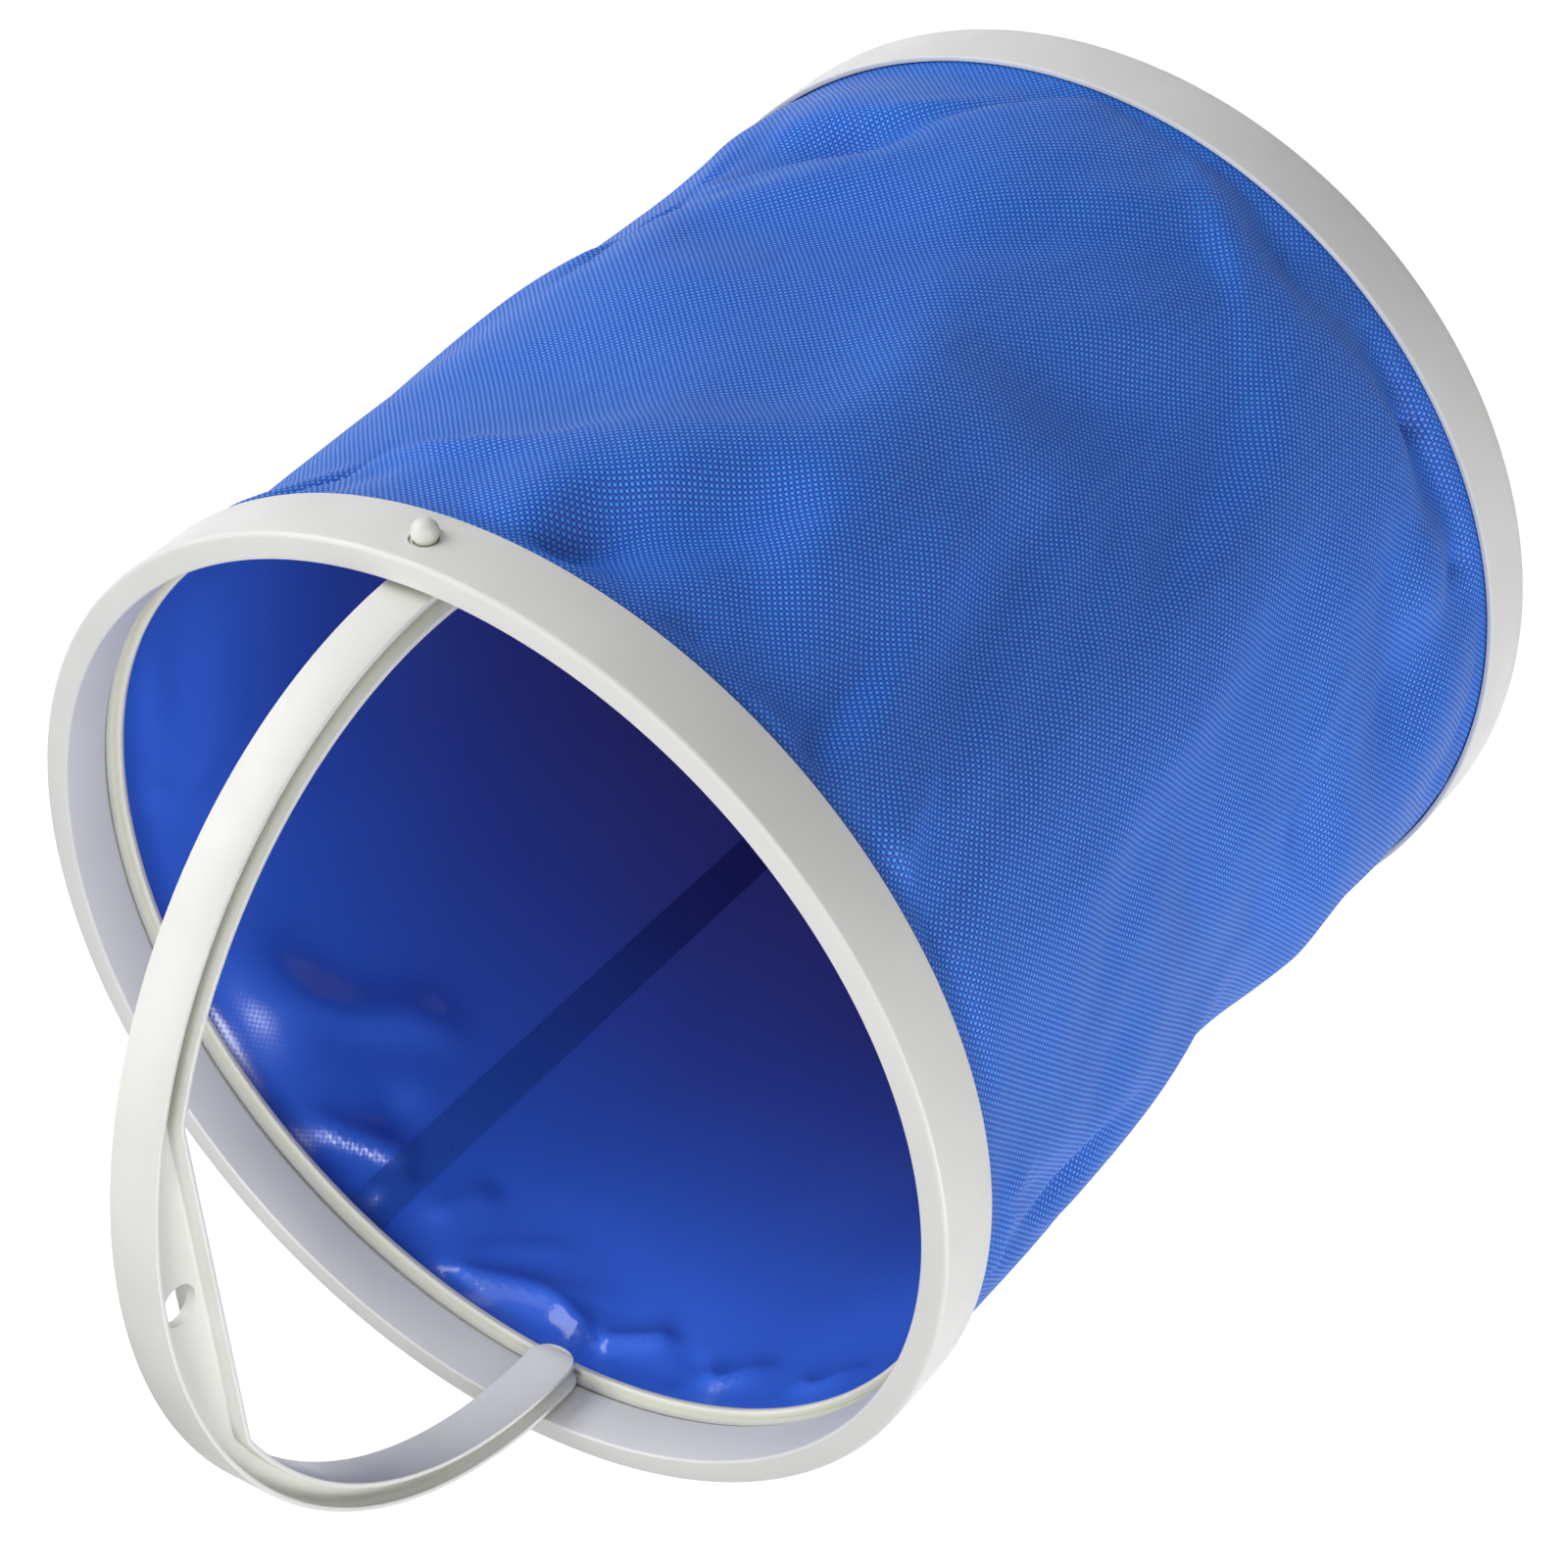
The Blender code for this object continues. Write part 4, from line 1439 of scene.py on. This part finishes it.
@dataclass
class Handle:
    """The handle: an I-section bent to an oval, with a straight grip, a hanging hole and two snap pegs.

    The section has four faces, numbered from the outside in: both sides of the outer flange, then both
    sides of the inner flange. Its outline runs round it in 36 points, three at each rounded edge.
    """

    WEB_TOP: ClassVar[tuple[int, ...]] = tuple(range(9, 15))
    WEB_BOTTOM: ClassVar[tuple[int, ...]] = tuple(range(27, 33))
    OUTER_FLANGE: ClassVar[tuple[int, ...]] = (*range(0, 10), *range(32, 36))
    INNER_FLANGE: ClassVar[tuple[int, ...]] = tuple(range(14, 28))
    OUTLINE: ClassVar[tuple[int, ...]] = tuple(range(36))

    sizes: MainSizes
    finishes: Finishes
    half_span: float = 116.8 * MM
    rise: float = 114.5 * MM
    width: float = 12.6 * MM
    depth: float = 7.0 * MM
    flange: float = 1.3 * MM
    web: float = 2.4 * MM
    setback: float = 4.0 * MM
    grip: float = 98.5 * MM
    corner: float = 0.32 * MM
    fillet: float = 0.35 * MM
    leg_steps: int = 34
    grip_steps: int = 28
    tab_steps: int = 12
    tab_reach: float = 6.1 * MM
    tab_power: float = 2.5
    tab_least: float = 2.2
    web_tab: int = 5
    hole_radius: float = 4.8 * MM
    peg_radius: float = 2.5 * MM
    head_radius: float = 3.1 * MM
    head_height: float = 4.0 * MM
    head_power: float = 2.4
    head_steps: int = 14
    head_gap: float = 0.3 * MM
    head_edge: float = 0.2 * MM
    peg_sides: int = 48
    sharp_from: float = 38.0

    def insets(self) -> tuple[float, float, float, float]:
        """Insets of the section's four faces from the handle's outside."""
        return 0.0, self.flange, self.depth - self.flange, self.depth

    def oval(self, turn: float) -> list[Point2]:
        """Place the section's four faces on the oval, which the grip cuts straight.

        Args:
            turn: Angle on the oval, from +X upwards.

        Returns:
            X and height of each face.
        """
        limits = (self.rise, self.rise, self.grip + self.flange, self.grip)
        base = self.sizes.pivot_height
        return [((self.half_span - inset) * math.cos(turn),
                 base + min((self.rise - inset) * math.sin(turn), limit))
                for inset, limit in zip(self.insets(), limits)]

    def stations(self) -> list[tuple[list[Point2], float]]:
        """Place the section along the handle, from the end of one tab to the end of the other.

        Returns:
            The four faces at each place, with the share of the full width there.
        """
        bend = math.asin(self.grip / (self.rise - self.depth))
        across = math.pi - 2 * bend
        turns = [bend * step / self.leg_steps for step in range(self.leg_steps)]
        turns += [bend + across * step / self.grip_steps for step in range(self.grip_steps + 1)]
        turns += [math.pi - bend * step / self.leg_steps for step in reversed(range(self.leg_steps))]
        found = [(self.oval(turn), 1.0) for turn in turns]
        least = self.tab_least * self.corner / self.width
        for step in range(1, self.tab_steps + 1):
            angle = math.pi / 2 * step / self.tab_steps
            level = self.sizes.pivot_height - self.tab_reach * math.sin(angle) ** (2 / self.tab_power)
            share = max(max(math.cos(angle), 0.0) ** (2 / self.tab_power), least)
            tab = [(self.half_span - inset, level) for inset in self.insets()]
            found.insert(0, (tab, share))
            found.append(([(-x, z) for x, z in tab], share))
        return found

    def outline(self, share: float) -> list[Point2]:
        """The I-section as face number and Y, with rounded edges and filleted web.

        Args:
            share: Share of the full width.

        Returns:
            Points in order. A face number between two whole ones lies between two faces.
        """
        half = self.width / 2 * share
        soft = min(self.corner, half * 0.9)
        low = self.setback - self.width / 2
        web_low, web_high = max(low, -half * 0.6), min(low + self.web, half * 0.6)
        thick = self.corner / self.flange
        blend = self.fillet / (self.depth - 2 * self.flange)
        slant = 1 - math.sqrt(0.5)

        def edge(face: float, inward: int, side: int) -> list[Point2]:
            """A flange's rounded edge, from its end at Y = side * half to the face."""
            return [(face + inward * thick, side * half),
                    (face + inward * slant * thick, side * (half - slant * soft)),
                    (face, side * (half - soft))]

        def hollow(face: float, inward: int, level: float, side: int) -> list[Point2]:
            """The fillet from a flange's face to the web's face at Y = level."""
            return [(face + inward * blend * near, level + side * self.fillet * far)
                    for near, far in ((0.0, 1.0), (0.3, 0.3), (1.0, 0.0))]

        return [*edge(0.0, 1, -1), *reversed(edge(0.0, 1, 1)), *edge(1.0, -1, 1),
                *hollow(1.0, 1, web_high, 1), *reversed(hollow(2.0, -1, web_high, 1)),
                *reversed(edge(2.0, 1, 1)), *edge(3.0, -1, 1),
                *reversed(edge(3.0, -1, -1)), *edge(2.0, 1, -1),
                *hollow(2.0, -1, web_low, -1), *reversed(hollow(1.0, 1, web_low, -1)),
                *reversed(edge(1.0, -1, -1))]

    def place(self, faces: list[Point2], number: float, y: float) -> Point3:
        """Find where a point of the outline lies at a station.

        Args:
            faces: X and height of the four faces there.
            number: The point's face number.
            y: Its Y.

        Returns:
            The point.
        """
        first = min(int(number), 2)
        share = number - first
        (x0, z0), (x1, z1) = faces[first], faces[first + 1]
        return x0 + (x1 - x0) * share, y, z0 + (z1 - z0) * share

    def body(self) -> bpy.types.Object:
        """Make the bent I-section. Past the web's ends only the two flanges run on, as round tabs.

        Returns:
            The body, without pegs and hole.
        """
        stations = self.stations()
        bm = bmesh.new()
        loops = [[bm.verts.new(self.place(faces, number, y)) for number, y in self.outline(share)]
                 for faces, share in stations]
        web_start = self.tab_steps - self.web_tab
        web_end = len(loops) - 1 - web_start
        for number, (loop, after) in enumerate(zip(loops, loops[1:])):
            has_web = web_start <= number < web_end
            rings = (self.OUTLINE,) if has_web else (self.OUTER_FLANGE, self.INNER_FLANGE)
            for ring in rings:
                for before, here in zip((ring[-1], *ring), ring):
                    bm.faces.new((loop[before], loop[here], after[here], after[before]))
        for station in (web_start, web_end):
            bm.faces.new([loops[station][spot] for spot in self.WEB_TOP + self.WEB_BOTTOM])
        for station in (0, len(loops) - 1):
            for ring in (self.OUTER_FLANGE, self.INNER_FLANGE):
                bm.faces.new([loops[station][spot] for spot in ring])
        bmesh.ops.recalc_face_normals(bm, faces=bm.faces)
        return from_bmesh("handle_body", bm)

    def peg(self, side: int) -> bpy.types.Object:
        """Make a snap peg with a domed head.

        Args:
            side: 1 for the +X side, -1 for the other.

        Returns:
            The peg.
        """
        root = self.half_span - self.flange / 2
        head = self.sizes.ring_radius + self.head_gap
        line = [(root, 0.0), (root, self.peg_radius), (head, self.peg_radius),
                (head, self.head_radius - self.head_edge)]
        for step in range(1, self.head_steps):
            angle = math.pi / 2 * step / self.head_steps
            line.append((head + self.head_height * math.sin(angle) ** (2 / self.head_power),
                         self.head_radius * math.cos(angle) ** (2 / self.head_power)))
        line.append((head + self.head_height, 0.0))
        bm = bmesh.new()
        level = self.sizes.pivot_height
        points = [bm.verts.new((side * x, 0.0, level + r)) for x, r in line]
        edges = [bm.edges.new(pair) for pair in zip(points, points[1:])]
        bmesh.ops.spin(bm, geom=points + edges, cent=(0.0, 0.0, level), axis=(1.0, 0.0, 0.0),
                       angle=math.tau, steps=self.peg_sides, use_merge=True)
        bmesh.ops.remove_doubles(bm, verts=bm.verts, dist=SAME_PLACE)
        bmesh.ops.recalc_face_normals(bm, faces=bm.faces)
        return from_bmesh(f"peg_{side + 1}", bm)

    def build(self) -> None:
        """Make the handle and set it on its body."""
        middle = (0.0, 0.0, self.sizes.pivot_height + (self.grip + self.rise) / 2)
        hole = rod("hole", self.hole_radius, middle, self.width, Along.Y, self.peg_sides)
        tools = [("UNION", self.peg(side)) for side in SIDES] + [("DIFFERENCE", hole)]
        piece = combined("bail_handle", self.body(), tools)
        smooth_to(piece.data, self.sharp_from)
        piece.data.materials.clear()
        piece.data.materials.append(self.finishes.handle.build())
        hand_over(piece, "handle", "handle")


@dataclass(frozen=True)
class Lamp:
    """A softbox, placed by azimuth, elevation and distance from the bucket's middle.

    It is square, or oblong where it has a height. A gloss-only one shows in highlights and adds no
    other light.
    """

    name: str
    turn: float
    rise: float
    distance: float
    size: float
    power: float
    height: float | None = None
    gloss_only: bool = False


@dataclass
class Studio:
    """Pale floor, white surroundings, soft lamps and the photograph's camera.

    The floor and the surroundings look white where the camera sees them, and light the bucket less.
    """

    camera_place: Point3 = (0.55129, -0.46191, 0.73349)
    camera_turn: Point3 = (-39.501, 34.969, -94.67)
    lens: float = 89.557
    sensor: float = 36.0
    sight: float = 50.0
    floor_size: float = 8.0
    floor_drop: float = 0.2 * MM
    ambient: float = 0.14
    floor_glow: float = 0.75
    floor_pale: float = 0.80
    floor_bounce: float = 0.20
    aim: Point3 = (0.0, 0.0, 0.16)
    lamps: tuple[Lamp, ...] = (
        Lamp("left_softbox", 42.0, 16.0, 1.7, 1.1, 18.0),
        Lamp("left_high_softbox", 60.0, 55.0, 1.6, 0.8, 4.0),
        Lamp("right_softbox", -122.0, 9.0, 1.7, 0.9, 17.0),
        Lamp("front_high_softbox", -48.0, 62.0, 1.6, 0.6, 12.0),
        Lamp("mouth_fill", 0.0, 90.0, 0.15, 0.10, 0.035),
        Lamp("glint_card", -72.0, 17.0, 1.6, 2.2, 30.0, height=0.24, gloss_only=True),
    )

    def build(self) -> None:
        """Make the floor, the surroundings, the lamps and the camera."""
        self.build_floor()
        self.build_world()
        for lamp in self.lamps:
            self.build_lamp(lamp)
        self.build_camera()

    def build_floor(self) -> None:
        """A pale floor that looks white where no shadow falls."""
        bpy.ops.mesh.primitive_plane_add(size=self.floor_size, location=(0.0, 0.0, -self.floor_drop))
        floor = bpy.context.object
        floor.name = "studio_floor"
        graph = Graph("pale_floor")
        rays = graph.node("ShaderNodeLightPath")
        seen = graph.math("MAXIMUM", rays.outputs["Is Camera Ray"], rays.outputs["Is Glossy Ray"])
        seen = graph.math("MAXIMUM", seen, rays.outputs["Is Transmission Ray"])
        bounce, pale = (self.floor_bounce,) * 3, (self.floor_pale,) * 3
        shader = graph.set(Base_Color=graph.mix(seen, bounce, pale), Roughness=0.9)
        glow = graph.math("MULTIPLY", seen, self.floor_glow)
        graph.put(graph.shader.inputs["Emission Color"], (1.0, 1.0, 1.0, 1.0))
        graph.put(graph.shader.inputs["Emission Strength"], glow)
        floor.data.materials.append(shader)

    def build_world(self) -> None:
        """White surroundings, brighter to the camera than on the object."""
        world = bpy.data.worlds.new("studio")
        bpy.context.scene.world = world
        world.use_nodes = True
        nodes, links = world.node_tree.nodes, world.node_tree.links
        back = nodes["Background"]
        back.inputs["Color"].default_value = (1.0, 1.0, 1.0, 1.0)
        rays = nodes.new("ShaderNodeLightPath")
        seen = nodes.new("ShaderNodeMath")
        seen.operation = "MAXIMUM"
        links.new(rays.outputs["Is Camera Ray"], seen.inputs[0])
        links.new(rays.outputs["Is Transmission Ray"], seen.inputs[1])
        level = nodes.new("ShaderNodeMapRange")
        links.new(seen.outputs[0], level.inputs["Value"])
        level.inputs["To Min"].default_value = self.ambient
        level.inputs["To Max"].default_value = 1.0
        links.new(level.outputs[0], back.inputs["Strength"])

    def build_lamp(self, lamp: Lamp) -> None:
        """Add one softbox that faces the bucket.

        Args:
            lamp: Its name, place, size and power.
        """
        light = bpy.data.lights.new(lamp.name, "AREA")
        light.size = lamp.size
        if lamp.height is not None:
            light.shape = "RECTANGLE"
            light.size_y = lamp.height
        light.energy = lamp.power
        piece = bpy.data.objects.new(lamp.name, light)
        bpy.context.scene.collection.objects.link(piece)
        around, up = math.radians(lamp.turn), math.radians(lamp.rise)
        away = Vector((math.cos(around) * math.cos(up), math.sin(around) * math.cos(up), math.sin(up)))
        facing = (-away).to_track_quat("-Z", "Y").to_matrix().to_4x4()
        piece.matrix_world = Matrix.Translation(Vector(self.aim) + away * lamp.distance) @ facing
        piece.visible_camera = False
        piece.visible_diffuse = not lamp.gloss_only

    def build_camera(self) -> None:
        """The camera, at the photograph's angle."""
        data = bpy.data.cameras.new("photo_camera")
        data.lens = self.lens
        data.sensor_width = self.sensor
        data.clip_end = self.sight
        camera = bpy.data.objects.new("photo_camera", data)
        bpy.context.scene.collection.objects.link(camera)
        camera.location = self.camera_place
        camera.rotation_euler = [math.radians(turn) for turn in self.camera_turn]
        bpy.context.scene.camera = camera


def main() -> None:
    """Build the rings, the fabric, the handle and the studio in order."""
    logging.basicConfig(level=logging.INFO, format="%(message)s")
    bpy.context.scene.view_settings.view_transform = "Standard"
    sizes, finishes = MainSizes.read(), Finishes()
    Rings(sizes, RingLathe(), finishes).build()
    Fabric(sizes, finishes).build()
    Handle(sizes, finishes).build()
    Studio().build()


if __name__ == "__main__":
    main()
